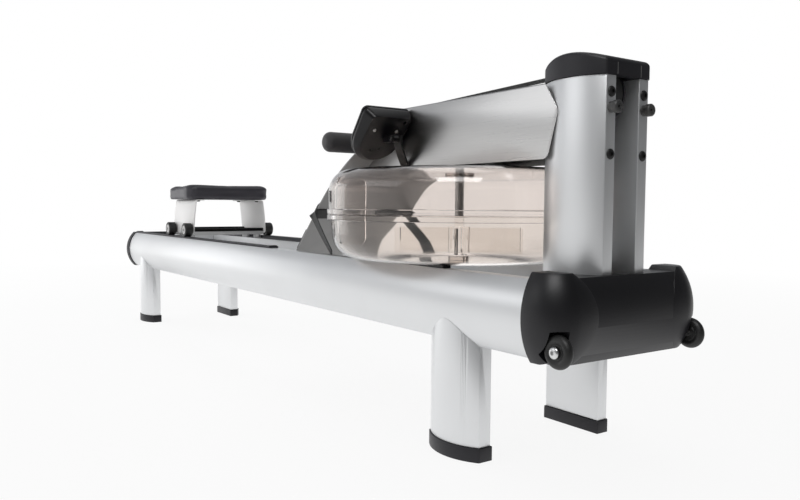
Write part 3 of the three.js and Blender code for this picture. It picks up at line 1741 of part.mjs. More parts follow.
// Height of the cushion's top: higher in front and at the sides, with a hollow behind.
function padTop(x, y) {
  const along = x / (padDepth / 2);
  const across = y / (padWidth / 2);
  const front = padFrontRise * Math.max(along, 0) ** 2;
  const side = padSideRise * across ** 2;
  const fade = 1 - padDipFadeShare * across ** 2;
  const dip = padDip * Math.exp(-((along + padDipBack) ** 2) / padDipSpread) * fade;
  const tail = (padDip / 2) * Math.max(-along, 0) ** 3;
  return front + side + tail - dip;
}

function padRing(inset, z, followTop) {
  const outline = roundedRectangle(
    inset - padDepth / 2,
    padDepth / 2 - inset,
    inset - padWidth / 2,
    padWidth / 2 - inset,
    Math.max(padCorner - inset, padEdgeRound / 3),
  ).getSpacedPoints(padPoints).slice(0, -1);
  return outline.map((point) => new THREE.Vector3(
    seatX + point.x,
    point.y,
    z + (followTop ? padTop(point.x, point.y) * followTop : 0),
  ));
}

function padGeometry() {
  const top = padBottom + padThickness;
  const rings = [
    padRing(padEdgeRound, padBottom, 0),
    padRing(padEdgeRound / 3, padBottom + padEdgeRound / 4, 0),
    padRing(0, padBottom + padEdgeRound, 0),
    padRing(padEdgeRound / 5, padBottom + padThickness / 2, padWaistShare),
    padRing(0, top - padEdgeRound, padShoulderShare),
    padRing(padEdgeRound / 4, top - padEdgeRound / 4, 1),
    padRing(padEdgeRound, top, 1),
  ];
  padRingShares.forEach((share) => {
    rings.push(padRing((share * padDepth) / 2, top + padEdgeRound * padCrownShare, 1));
  });
  return skin(rings);
}

addPart('seat_pad', padGeometry(), vinyl);

// A folded sheet: a flange under the cushion and a side that arches out to the wheels.
function bracketGeometry() {
  const top = padBottom - seatGap;
  const rise = top - bracketSheet - bracketFoot;
  const lean = bracketFootY - bracketTopY;
  const side = [];
  for (let i = 0; i <= bracketArcSteps; i += 1) {
    const share = i / bracketArcSteps;
    side.push(new THREE.Vector2(
      bracketTopY + lean * Math.sin((Math.PI / 2) * share),
      top - bracketSheet - rise * share,
    ));
  }
  const shape = new THREE.Shape([
    new THREE.Vector2(bracketTopY - bracketFlange, top),
    new THREE.Vector2(bracketTopY - bracketFlange, top - bracketSheet),
    new THREE.Vector2(bracketTopY - bracketSheet, top - bracketSheet),
    ...side.slice(1).map((point) => new THREE.Vector2(point.x - bracketSheet, point.y)),
    ...side.slice().reverse(),
    new THREE.Vector2(bracketTopY, top),
  ]);
  const sheet = pushX(shape, seatX - bracketLength / 2 - overrun, bracketLength + 2 * overrun);
  const holes = [frontAxleX, rearAxleX].map((x) => (
    rod(seatAxleRadius + seatGap, bracketTopY, bracketFootY + overrun).translate(x, 0, axleZ)
  ));
  // The lower corners are rounded off.
  const outline = new THREE.Shape();
  const [x0, x1] = [seatX - bracketLength / 2, seatX + bracketLength / 2];
  outline.moveTo(x0, top + overrun);
  outline.lineTo(x0, bracketFoot + bracketCorner);
  outline.absarc(x0 + bracketCorner, bracketFoot + bracketCorner, bracketCorner, Math.PI, Math.PI * 1.5);
  outline.lineTo(x1 - bracketCorner, bracketFoot);
  outline.absarc(x1 - bracketCorner, bracketFoot + bracketCorner, bracketCorner, -Math.PI / 2, 0);
  outline.lineTo(x1, top + overrun);
  const keep = pushY(outline, bracketTopY, 2 * bracketTopY - overrun, cornerSteps);
  return cut(overlapOf(sheet, keep), ...holes);
}

addPair('seat_bracket', bracketGeometry(), whitePaint);

// Two axles joined by a tray, with four guide rollers under it along the tracks.
function underframeGeometry() {
  const end = seatWheelOuter + seatAxleEnd;
  const axles = [frontAxleX, rearAxleX].map((x) => rod(seatAxleRadius, -end, end).translate(x, 0, axleZ));
  const trayTop = axleZ - seatAxleRadius + traySheet / 2;
  const half = bracketFootY - bracketSheet - 2 * seatGap;
  const x0 = seatX - trayDepth / 2;
  const x1 = seatX + trayDepth / 2;
  const tray = block(x0, x1, -half, half, trayTop - traySheet, trayTop);
  const lips = [[x0, x0 + traySheet], [x1 - traySheet, x1]].map(([a, b]) => (
    block(a, b, -half, half, trayTop - trayLip, trayTop)
  ));
  const trackFace = railInner - seatGap - trackLip;
  const guides = [];
  [x0 + guideInset, x1 - guideInset].forEach((x) => [-1, 1].forEach((side) => {
    guides.push(turnedZ([
      [0, guideBottom],
      [guideRadius, guideBottom],
      [guideRadius, guideBottom + guideHeight],
      [guidePin, guideBottom + guideHeight],
      [guidePin, trayTop - traySheet / 2],
      [0, trayTop - traySheet / 2],
    ], smallRoundSteps).translate(x, side * (trackFace - runGap - guideRadius), 0));
  }));
  return fuse(...axles, tray, ...lips, ...guides);
}

addPart('seat_underframe', underframeGeometry(), blackMetal);

function seatWheelGeometry(x) {
  const inner = seatWheelOuter - seatWheelWidth;
  const outer = seatWheelOuter;
  const bore = seatAxleRadius + runGap;
  return turnedY([
    [bore, inner],
    [seatWheelRadius - seatWheelChamfer, inner],
    [seatWheelRadius, inner + seatWheelChamfer],
    [seatWheelRadius, outer - seatWheelChamfer],
    [seatWheelRadius - seatWheelChamfer, outer],
    [seatHubRadius, outer],
    [seatHubRadius - seatHubProud, outer - seatHubProud],
    [bore, outer - seatHubProud],
    [bore, inner],
  ], wheelSteps).translate(x, 0, axleZ);
}

addPair('seat_wheel_front', seatWheelGeometry(frontAxleX), blackRubber);
addPair('seat_wheel_rear', seatWheelGeometry(rearAxleX), blackRubber);

// Origin on the floor, under the middle of the whole length

const farthestFront = truckX + truckRadius;
const farthestRear = railRear - seatGap - bumperLength;
machine.position.set(-(farthestFront + farthestRear) / 2, 0, 0);

export default machine;
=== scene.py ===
# %% [markdown]
# # A water rowing machine, dressed for its portrait
#
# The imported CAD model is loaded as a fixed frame. Each cell below dresses one piece of the
# machine: a smoother or fuller shape where the CAD solid is plain, and a procedural finish on
# everything. All lengths are written in millimetres, as a drawing gives them, and turned into
# Blender's metres by the helper `at`.

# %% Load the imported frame
import json
import math

import bmesh
import bpy
from mathutils import Matrix, Vector

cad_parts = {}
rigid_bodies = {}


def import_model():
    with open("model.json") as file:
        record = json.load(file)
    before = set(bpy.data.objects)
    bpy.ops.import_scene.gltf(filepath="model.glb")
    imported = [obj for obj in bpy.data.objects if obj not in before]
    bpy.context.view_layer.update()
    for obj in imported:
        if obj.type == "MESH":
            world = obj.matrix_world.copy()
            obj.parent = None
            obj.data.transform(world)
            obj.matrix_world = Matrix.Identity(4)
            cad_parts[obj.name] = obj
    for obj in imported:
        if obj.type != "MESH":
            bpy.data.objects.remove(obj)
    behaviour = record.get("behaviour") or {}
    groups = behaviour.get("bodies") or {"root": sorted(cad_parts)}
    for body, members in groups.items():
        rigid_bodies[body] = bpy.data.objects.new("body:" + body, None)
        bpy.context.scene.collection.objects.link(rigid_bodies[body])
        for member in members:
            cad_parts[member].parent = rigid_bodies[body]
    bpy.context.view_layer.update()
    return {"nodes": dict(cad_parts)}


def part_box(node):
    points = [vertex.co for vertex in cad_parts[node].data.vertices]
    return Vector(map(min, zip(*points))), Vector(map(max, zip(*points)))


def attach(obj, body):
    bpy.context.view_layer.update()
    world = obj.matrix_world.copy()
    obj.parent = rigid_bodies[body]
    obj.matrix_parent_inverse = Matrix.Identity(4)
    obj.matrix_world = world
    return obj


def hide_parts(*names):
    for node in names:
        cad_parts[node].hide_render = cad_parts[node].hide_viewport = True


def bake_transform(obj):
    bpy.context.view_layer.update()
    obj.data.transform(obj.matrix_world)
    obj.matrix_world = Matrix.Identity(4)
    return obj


for leftover in list(bpy.data.objects):
    bpy.data.objects.remove(leftover)
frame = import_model()
mm = 0.001

# Drawing x = 0 is the front face of the front legs; the rails run 140 mm past it.
rail_front = 140
front_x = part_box("rail_left")[1].x - rail_front * mm


def at(x, y, z):
    """A point of the drawing, in millimetres, as a place in the scene."""
    return Vector((front_x + x * mm, y * mm, z * mm))


# %% [markdown]
# ## The camera
#
# A photograph of straight rails and upright posts fixes its own camera: the vanishing points
# give the lens and the turn, and one known height gives the distance. The camera is made from
# these numbers at once, rather than moved by eye.

# %% Camera
def camera_axes(turn, dip, roll):
    """Right, up and backward directions of a camera that looks along -x, turned and tilted."""
    turn, dip, roll = (math.radians(angle) for angle in (turn, dip, roll))
    ahead = Vector((-math.cos(turn) * math.cos(dip), math.sin(turn) * math.cos(dip), -math.sin(dip)))
    right = ahead.cross(Vector((0, 0, 1))).normalized()
    up = right.cross(ahead)
    leaning_right = right * math.cos(roll) + up * math.sin(roll)
    leaning_up = up * math.cos(roll) - right * math.sin(roll)
    return leaning_right, leaning_up, -ahead


lens = bpy.data.cameras.new("portrait_lens")
lens.sensor_width = 36
lens.lens = 33.743
camera = bpy.data.objects.new("portrait_camera", lens)
bpy.context.scene.collection.objects.link(camera)
eye = at(948.67, -989.66, 435)
axes = camera_axes(34.86, 3.34, 0.42)
camera.matrix_world = Matrix.Translation(eye) @ Matrix(axes).transposed().to_4x4()
bpy.context.scene.camera = camera
print("camera at", [round(v, 3) for v in eye])

# %% [markdown]
# ## Helpers for finishes
#
# A finish is a small graph of shader nodes. Written as sums and products it stays readable, so
# `Value` wraps one socket and adds a Math node for each operator, and `Finish.node` adds any
# other node from its type, its settings and what feeds its sockets.

# %% Shader maths
class Value:
    """One output socket of a finish, which can be used in sums and products."""

    def __init__(self, finish, socket):
        self.finish = finish
        self.socket = socket

    def math(self, operation, *others):
        return self.finish.node("Math", {"operation": operation}, dict(enumerate((self, *others))))

    def __add__(self, other):
        return self.math("ADD", other)

    def __sub__(self, other):
        return self.math("SUBTRACT", other)

    def __rsub__(self, other):
        return self.finish.node("Math", {"operation": "SUBTRACT"}, {0: other, 1: self})

    def __mul__(self, other):
        return self.math("MULTIPLY", other)

    __radd__ = __add__
    __rmul__ = __mul__


class Finish:
    """A material with one Principled shader, built node by node."""

    def __init__(self, name, uniform):
        self.material = bpy.data.materials.new(name)
        self.material.use_nodes = True
        self.tree = self.material.node_tree
        self.shader = self.tree.nodes["Principled BSDF"]
        self.output = self.tree.nodes["Material Output"]
        self.place = self.node("TexCoord", out="Object")
        for socket, value in uniform.items():
            self.shader.inputs[socket].default_value = value

    def node(self, kind, settings=None, sockets=None, out=0):
        made = self.tree.nodes.new("ShaderNode" + kind)
        for key, value in (settings or {}).items():
            if key == "stops":
                self.set_stops(made.color_ramp, value)
            else:
                setattr(made, key, value)
        for key, value in (sockets or {}).items():
            self.feed(made.inputs[key], value)
        return Value(self, made.outputs[out])

    def set_stops(self, ramp, stops):
        while len(ramp.elements) < len(stops):
            ramp.elements.new(0.5)
        for element, (position, shade) in zip(ramp.elements, stops):
            element.position = position
            element.color = (shade, shade, shade, 1)

    def feed(self, socket, value):
        if isinstance(value, Value):
            self.tree.links.new(value.socket, socket)
        else:
            socket.default_value = value

    def set(self, socket, value):
        self.feed(self.shader.inputs[socket], value)

    def noise(self, scale, detail=3, stretch=(1, 1, 1)):
        """Soft random patches; the scale counts patches per metre."""
        stretched = self.node("Mapping", {}, {"Vector": self.place, "Scale": stretch})
        return self.node("TexNoise", {}, {
            "Vector": stretched, "Scale": scale, "Detail": detail, "Roughness": 0.55,
        })

    def cells(self, scale, feature="F1"):
        """Small cells all over; the scale counts cells per metre."""
        settings = {"feature": feature}
        return self.node("TexVoronoi", settings, {"Vector": self.place, "Scale": scale}, out="Distance")

    def along(self, letter, source=None):
        """The X, Y or Z of the place, or of another source."""
        return self.node("SeparateXYZ", {}, {0: source or self.place}, out=letter)

    def fade(self, value, start, end, slope="LINEAR"):
        """0 up to the start, 1 from the end on, and a slope between them."""
        limits = {"Value": value, "From Min": start, "From Max": end}
        return self.node("MapRange", {"interpolation_type": slope}, limits)

    def ray(self, kind):
        """1 for rays of one kind, such as Camera or Glossy, and 0 for all others."""
        return self.node("LightPath", out=f"Is {kind} Ray")

    def ramp(self, value, *stops):
        return self.node("ValToRGB", {"stops": stops}, {0: value})

    def mix(self, share, first, second):
        return self.node("Mix", {"data_type": "RGBA"}, {0: share, 6: first, 7: second}, out=2)

    def bump(self, height, strength, depth):
        self.set("Normal", self.node("Bump", {}, {
            "Height": height, "Strength": strength, "Distance": depth * mm,
        }))


def grey(level, warm=0.0):
    """A neutral colour, a little warm or, below 0, a little cool."""
    return (level * (1 + warm), level, level * (1 - warm), 1)


def tinted(tone, red, green, blue):
    """A dark colour, given by a tone and its share in each colour."""
    return (tone * red, tone * green, tone * blue, 1)


# %% [markdown]
# ## Metals and paints
#
# The extrusions are satin silver: half mirror, half paint, with a very fine orange peel. The
# deck is bare brushed aluminium, whose scratches all run one way, so its noise is stretched
# along the machine. A stretched noise in the bump and in the roughness reads as brushing, where
# a painted-on stripe would not catch the light.

# %% Silver, brushed aluminium, sheet and steel
def satin_silver(name, stretch):
    """Powder-fine silver on an extrusion; the die lines run along the piece."""
    finish = Finish(name, {"Metallic": 0.72, "Specular IOR Level": 0.5})
    cloud = finish.noise(6, 2)
    lines = finish.noise(260, 2, stretch)
    peel = finish.noise(1400, 2)
    finish.set("Base Color", finish.mix(cloud, grey(0.70, -0.012), grey(0.76, -0.012)))
    finish.set("Roughness", 0.33 + 0.05 * cloud + 0.05 * lines)
    finish.bump(peel * 0.5 + lines * 0.5, 0.10, 0.05)
    return finish.material


def brushed_aluminium(name, tone):
    finish = Finish(name, {"Metallic": 1.0})
    long_lines = finish.noise(420, 3, (0.02, 1, 1))
    fine_lines = finish.noise(1500, 2, (0.01, 1, 1))
    cloud = finish.noise(5, 2)
    streaks = long_lines * 0.6 + fine_lines * 0.4
    finish.set("Base Color", finish.mix(streaks, grey(tone * 0.86), grey(tone * 1.06, 0.01)))
    finish.set("Roughness", 0.21 + 0.10 * streaks + 0.06 * cloud)
    finish.bump(streaks, 0.22, 0.08)
    return finish.material


def coated_sheet(name, tone, metal, rough):
    """Paint or lacquer on folded sheet: nearly even, with a faint cloud and peel."""
    finish = Finish(name, {"Metallic": metal})
    cloud = finish.noise(9, 3)
    peel = finish.noise(900, 2)
    finish.set("Base Color", finish.mix(cloud, grey(tone * 0.95, 0.01), grey(tone * 1.04, 0.01)))
    finish.set("Roughness", rough + 0.07 * cloud + 0.04 * peel)
    finish.bump(peel, 0.12, 0.06)
    return finish.material


def turned_steel(name, tone, rough):
    finish = Finish(name, {"Metallic": 1.0})
    scratches = finish.noise(900, 3, (1, 0.1, 1))
    finish.set("Base Color", finish.mix(scratches, grey(tone * 0.9), grey(tone * 1.05)))
    finish.set("Roughness", rough + 0.12 * scratches)
    finish.bump(scratches, 0.12, 0.05)
    return finish.material


def black_over_steel(name, border):
    """A black bar with bare steel below a height."""
    finish = Finish(name, {"Metallic": 0.7})
    upper = finish.ramp((finish.along("Z") - border * mm) * 400 + 0.5, (0.3, 0), (0.7, 1))
    scratches = finish.noise(700, 3, (1, 0.1, 1))
    finish.set("Base Color", finish.mix(upper, grey(0.62), grey(0.02)))
    finish.set("Roughness", 0.28 + 0.12 * scratches)
    finish.bump(scratches, 0.12, 0.05)
    return finish.material


silver_long = satin_silver("silver_along_x", (0.03, 1, 1))
silver_tall = satin_silver("silver_along_z", (1, 1, 0.03))
deck_metal = brushed_aluminium("brushed_deck", 0.52)
board_lacquer = coated_sheet("grey_footboard", 0.25, 0.35, 0.42)
white_paint = coated_sheet("white_brackets", 0.88, 0.0, 0.38)
black_metal = coated_sheet("black_metal", 0.018, 0.4, 0.40)
# Near-white, nearly matt edges: bare cut metal painted bright, a painted highlight that needs no lamp.
cut_edge_painted_highlight = coated_sheet("cut_edge_painted_highlight", 0.95, 0.2, 0.35)
hub_grey = coated_sheet("hub_grey", 0.5, 0.3, 0.35)
bright_steel = turned_steel("bright_steel", 0.62, 0.22)
blade_steel = turned_steel("blade_steel", 0.40, 0.30)
bar_and_axles = black_over_steel("bar_and_axles", 345)
print("metal finishes", len(bpy.data.materials))

# %% [markdown]
# ## Plastics, rubber, foam and cloth
#
# Moulded black plastic has a spark-eroded grain of well under a millimetre. It breaks the
# highlights up instead of darkening them. Rubber is the same with a coarser, duller grain, foam
# has open pores, and vinyl has small smooth cells with creases between them.

# %% Black plastics and rubbers
def moulded_black(name, tone, rough, grain, gloss=0.5):
    finish = Finish(name, {"Specular IOR Level": gloss})
    cells = finish.noise(grain, 2)
    cloud = finish.noise(14, 3)
    finish.set("Base Color", finish.mix(cloud, tinted(tone, 0.85, 0.83, 1), tinted(tone, 1.1, 1.05, 1.35)))
    finish.set("Roughness", rough + 0.08 * cells + 0.06 * cloud)
    finish.bump(cells, 0.16, 0.10)
    return finish.material


def rubber(name, tone, rough):
    finish = Finish(name, {"Specular IOR Level": 0.4})
    dust = finish.ramp(finish.noise(40, 4), (0.45, 0), (0.75, 1))
    cells = finish.noise(1200, 2)
    finish.set("Base Color", finish.mix(dust * 0.35, grey(tone), grey(tone * 2.0, 0.05)))
    finish.set("Roughness", rough + 0.12 * cells)
    finish.bump(cells, 0.25, 0.12)
    return finish.material


def pored_foam(name, tone):
    finish = Finish(name, {"Sheen Weight": 0.25, "Sheen Roughness": 0.5})
    pores = finish.cells(700)
    cloud = finish.noise(30, 4)
    finish.set("Base Color", finish.mix(cloud, tinted(tone, 0.8, 0.76, 0.85), tinted(tone, 1.3, 1.2, 1.3)))
    finish.set("Roughness", 0.62 + 0.2 * pores)
    finish.bump(pores, 0.45, 0.35)
    return finish.material


def soft_vinyl(name, tone):
    finish = Finish(name, {"Specular IOR Level": 0.55, "Coat Roughness": 0.35})
    creases = finish.ramp(finish.cells(420, "DISTANCE_TO_EDGE"), (0.0, 0), (0.16, 1))
    wear = finish.noise(18, 4)
    finish.set("Base Color", finish.mix(wear, tinted(tone, 0.9, 0.86, 1.15), tinted(tone, 1.25, 1.12, 1.5)))
    finish.set("Roughness", 0.40 + 0.10 * wear)
    finish.set("Coat Weight", 0.10 * creases)
    finish.bump(creases, 0.20, 0.18)
    return finish.material


shroud_plastic = moulded_black("shroud_plastic", 0.0105, 0.34, 1500, 0.38)
cap_plastic = moulded_black("cap_plastic", 0.018, 0.40, 1300, 0.35)
housing_plastic = moulded_black("housing_plastic", 0.006, 0.26, 1700, 0.28)
track_plastic = moulded_black("track_plastic", 0.022, 0.45, 1200)
black_rubber = rubber("black_rubber", 0.016, 0.42)
grey_rubber = rubber("grey_rubber", 0.17, 0.45)
dark_rubber = rubber("dark_rubber", 0.055, 0.38)
grip_foam = pored_foam("grip_foam", 0.036)
seat_vinyl = soft_vinyl("seat_vinyl", 0.030)

# %% [markdown]
# Webbing is woven: ribs of thick yarn lie across the strap and a fine yarn crosses them. The
# pattern must follow the strap round its bends, so it reads the strap's own UV map, which is
# laid out in metres, and two sine waves make the ribs.

# %% Webbing
rib_pitch, yarn_pitch = 1.7, 1.1


def woven_strap(name, tone):
    finish = Finish(name, {"Sheen Weight": 0.15, "Sheen Roughness": 0.4})
    strap_map = finish.node("TexCoord", out="UV")
    ribs = (finish.along("X", strap_map) * (2 * math.pi / (rib_pitch * mm))).math("SINE")
    yarn = (finish.along("Y", strap_map) * (2 * math.pi / (yarn_pitch * mm))).math("SINE")
    weave = ribs * 0.5 + yarn * ribs * 0.35 + 0.5
    wear = finish.noise(60, 3)
    finish.set("Base Color", finish.mix(weave, grey(tone * 0.6), grey(tone * 1.35, -0.03)))
    finish.set("Roughness", 0.62 + 0.15 * wear)
    finish.bump(weave, 0.5, 0.25)
    return finish.material


webbing = woven_strap("black_webbing", 0.018)

# %% [markdown]
# ## Clear things
#
# The tank is smoky clear plastic with a warm tint and water inside it. Refraction in the walls
# bends what stands behind the tank, and no painted transparency does that, so both use
# transmission. A full drum of water would turn the view behind it back to front; the
# photographed tank doesn't, so the water bends light only slightly here. Fine drops cling to
# the inside of the upper half: small bumps.

# %% Smoky shell, water and glass
def smoky_clear(name, tint, drops, bending=1.38):
    finish = Finish(name, {"Transmission Weight": 1.0, "IOR": bending, "Specular IOR Level": 0.8})
    beads = finish.cells(230)
    patches = finish.noise(9, 2)
    scuffs = finish.noise(25, 4, (1, 1, 0.3))
    wet = finish.ramp(patches, (0.5, 0), (0.62, 1))
    bead = finish.ramp(beads, (0.10, 1), (0.2, 0))
    finish.set("Base Color", finish.mix(scuffs, tint, tuple(c * 0.97 for c in tint[:3]) + (1,)))
    finish.set("Roughness", 0.03 + 0.03 * scuffs)
    finish.bump(bead * wet * drops + scuffs * 0.08, 0.25, 0.4)
    return finish.material


def still_water(name):
    finish = Finish(name, {"Transmission Weight": 1.0, "IOR": 1.06})
    ripple = finish.noise(16, 2)
    finish.set("Base Color", finish.mix(ripple, (0.93, 0.90, 0.88, 1), (0.97, 0.95, 0.93, 1)))
    finish.set("Roughness", 0.01 + 0.01 * ripple)
    finish.bump(ripple, 0.04, 0.5)
    return finish.material


segment_pitch = 9


def dark_glass(name):
    finish = Finish(name, {"IOR": 1.5, "Coat Roughness": 0.05})
    haze = finish.noise(20, 2)
    segments = (finish.along("Y") * (2 * math.pi / (segment_pitch * mm))).math("SINE")
    dark, light = (0.02, 0.027, 0.03, 1), (0.035, 0.045, 0.045, 1)
    finish.set("Base Color", finish.mix(segments * 0.3 + 0.5, dark, light))
    finish.set("Roughness", 0.10 + 0.08 * haze)
    finish.set("Coat Weight", 0.6 + 0.2 * haze)
    return finish.material


shell_clear = smoky_clear("smoky_shell", (0.95, 0.90, 0.87, 1), 1.0)
lower_clear = smoky_clear("smoky_shell_low", (0.95, 0.91, 0.88, 1), 0.0)
seal_clear = smoky_clear("seal_clear", (0.80, 0.72, 0.68, 1), 0.0)
blade_clear = smoky_clear("blade_clear", (0.97, 0.95, 0.93, 1), 0.0, 1.08)
water_clear = still_water("tank_water")
screen_glass = dark_glass("screen_glass")
print("all finishes", len(bpy.data.materials))

# %% [markdown]
# ## Helpers for modelling by hand
#
# The pieces are modelled with Blender's own operators: add a primitive at its size and place,
# pick faces or edges by where they are, extrude, spin, bisect and bevel. Each helper below is
# one such habit. An operator works on everything selected, so each starts from a clean choice.

# %% Choosing and adding
def only(*pieces):
    """Object mode, with just these pieces selected and the last of them active."""
    if bpy.context.object and bpy.context.object.mode != "OBJECT":
        bpy.ops.object.mode_set(mode="OBJECT")
    bpy.ops.object.select_all(action="DESELECT")
    for piece in pieces:
        piece.select_set(True)
    bpy.context.view_layer.objects.active = pieces[-1] if pieces else None


def bring(add, **settings):
    """Adds a primitive and puts its place, turn and size into its mesh."""
    only()
    add(**settings)
    piece = bpy.context.object
    bpy.ops.object.transform_apply(location=True, rotation=True, scale=True)
    return piece


def choose(piece, kind, test):
    """Edit mode, with the vertices, edges or faces that pass the test selected."""
    only(piece)
    bpy.ops.object.mode_set(mode="EDIT")
    mode = {"verts": "VERT", "edges": "EDGE", "faces": "FACE"}[kind]
    bpy.ops.mesh.select_mode(type=mode)
    bpy.ops.mesh.select_all(action="DESELECT")
    shape = bmesh.from_edit_mesh(piece.data)
    for part in [part for part in getattr(shape, kind) if test(part)]:
        part.select_set(True)
    bmesh.update_edit_mesh(piece.data)


def edit_all(piece):
    """Edit mode, with everything selected."""
    only(piece)
    bpy.ops.object.mode_set(mode="EDIT")
    bpy.ops.mesh.select_all(action="SELECT")


def tidy(piece):
    """Merges doubles and turns every face outwards."""
    edit_all(piece)
    bpy.ops.mesh.remove_doubles(threshold=0.00001)
    bpy.ops.mesh.normals_make_consistent(inside=False)
    bpy.ops.object.mode_set(mode="OBJECT")
    return piece


def drop_inner_faces(piece):
    """A spin leaves its first face behind as a wall inside the body."""
    choose(piece, "faces", lambda face: False)
    bpy.ops.mesh.select_interior_faces()
    bpy.ops.mesh.delete(type="FACE")
    tidy(piece)


def soften(piece, angle=30):
    """Smooth shading, except over edges sharper than the angle."""
    only(piece)
    bpy.ops.object.shade_smooth_by_angle(angle=math.radians(angle))
    return piece


# %% [markdown]
# Most pieces start as a block, a rod, a traced outline that is pushed straight, or a profile
# that is spun round an axis.

# %% Primitives at their size and place
def block(x0, x1, y0, y1, z0, z1):
    low, high = at(x0, y0, z0), at(x1, y1, z1)
    return bring(bpy.ops.mesh.primitive_cube_add, size=1, location=(low + high) / 2, scale=high - low)


def rod(start, end, radius, sides=48):
    """A round bar between two places."""
    along = end - start
    turn = along.to_track_quat("Z", "Y").to_euler()
    return bring(
        bpy.ops.mesh.primitive_cylinder_add,
        vertices=sides, radius=radius * mm, depth=along.length, location=(start + end) / 2, rotation=turn,
    )


def trace(points, filled=True):
    """A drawn line, one extruded vertex at a time, filled if it goes all round."""
    line = bring(bpy.ops.mesh.primitive_plane_add, size=mm, location=points[0])
    edit_all(line)
    bpy.ops.mesh.select_mode(type="VERT")
    bpy.ops.mesh.merge(type="CENTER")
    for before, after in zip(points, points[1:]):
        bpy.ops.mesh.extrude_vertices_move(TRANSFORM_OT_translate={"value": after - before})
    if filled:
        bpy.ops.mesh.select_all(action="SELECT")
        bpy.ops.mesh.edge_face_add()
    bpy.ops.object.mode_set(mode="OBJECT")
    return line


def prism(points, push):
    """A traced outline pushed straight out."""
    piece = trace(points)
    edit_all(piece)
    bpy.ops.mesh.extrude_region_move(TRANSFORM_OT_translate={"value": push})
    return tidy(piece)


def turned(profile, centre, along, out, steps=64):
    """A profile of (radius, height) in millimetres, spun once round an axis."""
    along, out = Vector(along), Vector(out)
    line = trace([centre + out * radius * mm + along * height * mm for radius, height in profile], False)
    edit_all(line)
    bpy.ops.mesh.spin(steps=steps, angle=2 * math.pi, center=centre, axis=along)
    return tidy(line)


def arc(x, z, radius, start, end, steps=8):
    """Points on a circle, from one angle to another, in degrees."""
    angles = [math.radians(start + (end - start) * i / steps) for i in range(steps + 1)]
    return [(x + radius * math.cos(angle), z + radius * math.sin(angle)) for angle in angles]


def rounded_box(x0, x1, y0, y1, corner):
    """The outline of a rectangle with round corners."""
    return [
        *arc(x1 - corner, y1 - corner, corner, 0, 90), *arc(x0 + corner, y1 - corner, corner, 90, 180),
        *arc(x0 + corner, y0 + corner, corner, 180, 270), *arc(x1 - corner, y0 + corner, corner, 270, 360),
    ]


# %% [markdown]
# Then they are cut to length, joined or hollowed with Booleans, and get rounded edges. What
# stands on both sides of the machine is mostly made once and mirrored.

# %% Cutting, joining and rounding
def slice_off(piece, point, normal):
    """Takes away what lies beyond a plane and closes the cut."""
    edit_all(piece)
    bpy.ops.mesh.bisect(plane_co=point, plane_no=normal, use_fill=True, clear_outer=True)
    bpy.ops.object.mode_set(mode="OBJECT")


def combine(piece, tool, operation="DIFFERENCE"):
    """Cuts a tool out of a piece, or joins or intersects the two, and drops the tool."""
    change = piece.modifiers.new("combine", "BOOLEAN")
    change.operation = operation
    change.solver = "EXACT"
    change.object = tool
    only(piece)
    bpy.ops.object.modifier_apply(modifier=change.name)
    bpy.data.objects.remove(tool, do_unlink=True)
    return piece


def round_edges(piece, width, segments=3, angle=35):
    change = piece.modifiers.new("round", "BEVEL")
    change.width = width * mm
    change.segments = segments
    change.limit_method = "ANGLE"
    change.angle_limit = math.radians(angle)
    only(piece)
    bpy.ops.object.modifier_apply(modifier=change.name)
    return soften(piece)


def round_chosen(piece, width, segments, test):
    """Rounds only the edges that pass the test."""
    choose(piece, "edges", test)
    bpy.ops.mesh.bevel(offset=width * mm, segments=segments, affect="EDGES")
    bpy.ops.object.mode_set(mode="OBJECT")


def copied(piece):
    twin = piece.copy()
    twin.data = piece.data.copy()
    bpy.context.scene.collection.objects.link(twin)
    return twin


def mirrored(piece):
    """The copy for the other side of the machine."""
    twin = copied(piece)
    only(twin)
    twin.scale.y = -1
    bpy.ops.object.transform_apply(location=True, rotation=True, scale=True)
    return tidy(twin)


# %% [markdown]
# A finished piece gets its finish and rides on the body that carries it, in place of the CAD
# solids it stands for, which are hidden.

# %% Handing a piece over to the frame
def settle(piece, name, body, finish, slot, *nodes):
    """Names a piece, gives it its finish, and lets it ride on its body in place of its nodes.

    With no body it rides on none.
    """
    piece.name = name
    piece.data.materials.clear()
    piece.data.materials.append(finish)
    if body:
        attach(piece, body)
    if nodes:
        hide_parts(*nodes)
    print(name, [round(side * 1000) for side in piece.dimensions], len(piece.data.polygons), "faces")
    return piece


def settle_pair(left, name, body, finish, slot, node=None):
    """Settles a left piece and its mirror image.

    SIDE stands for left or right in the names, and for l or r in the body.
    """
    pieces = {"left": left, "right": mirrored(left)}
    for side, piece in pieces.items():
        nodes = [node.replace("SIDE", side)] if node else []
        settle(piece, name.replace("SIDE", side), body.replace("SIDE", side[0]), finish, slot, *nodes)
    return list(pieces.values())


def trim(piece, finish, test):
    """Gives some faces of a finished piece a second finish."""
    piece.data.materials.append(finish)
    found = [face for face in piece.data.polygons if test(face)]
    for face in found:
        face.material_index = len(piece.data.materials) - 1
    print("trimmed", piece.name, len(found), "faces")


def repaint(finish, *nodes):
    """A CAD node whose shape is right keeps its mesh and gets a finish."""
    for node in nodes:
        for slot in frame["nodes"][node].material_slots:
            slot.material = finish


sides = (("left", 1), ("right", -1))

# %% [markdown]
# ## Rails, legs and posts
#
# All the straight members are lengths of one family of extrusion: flat on the inside, with an
# outside that bulges as a shallow arc. A tall cylinder already has that arc. So each bar starts
# as a cylinder of the arc's radius, and three cuts leave the slice that the profile needs.

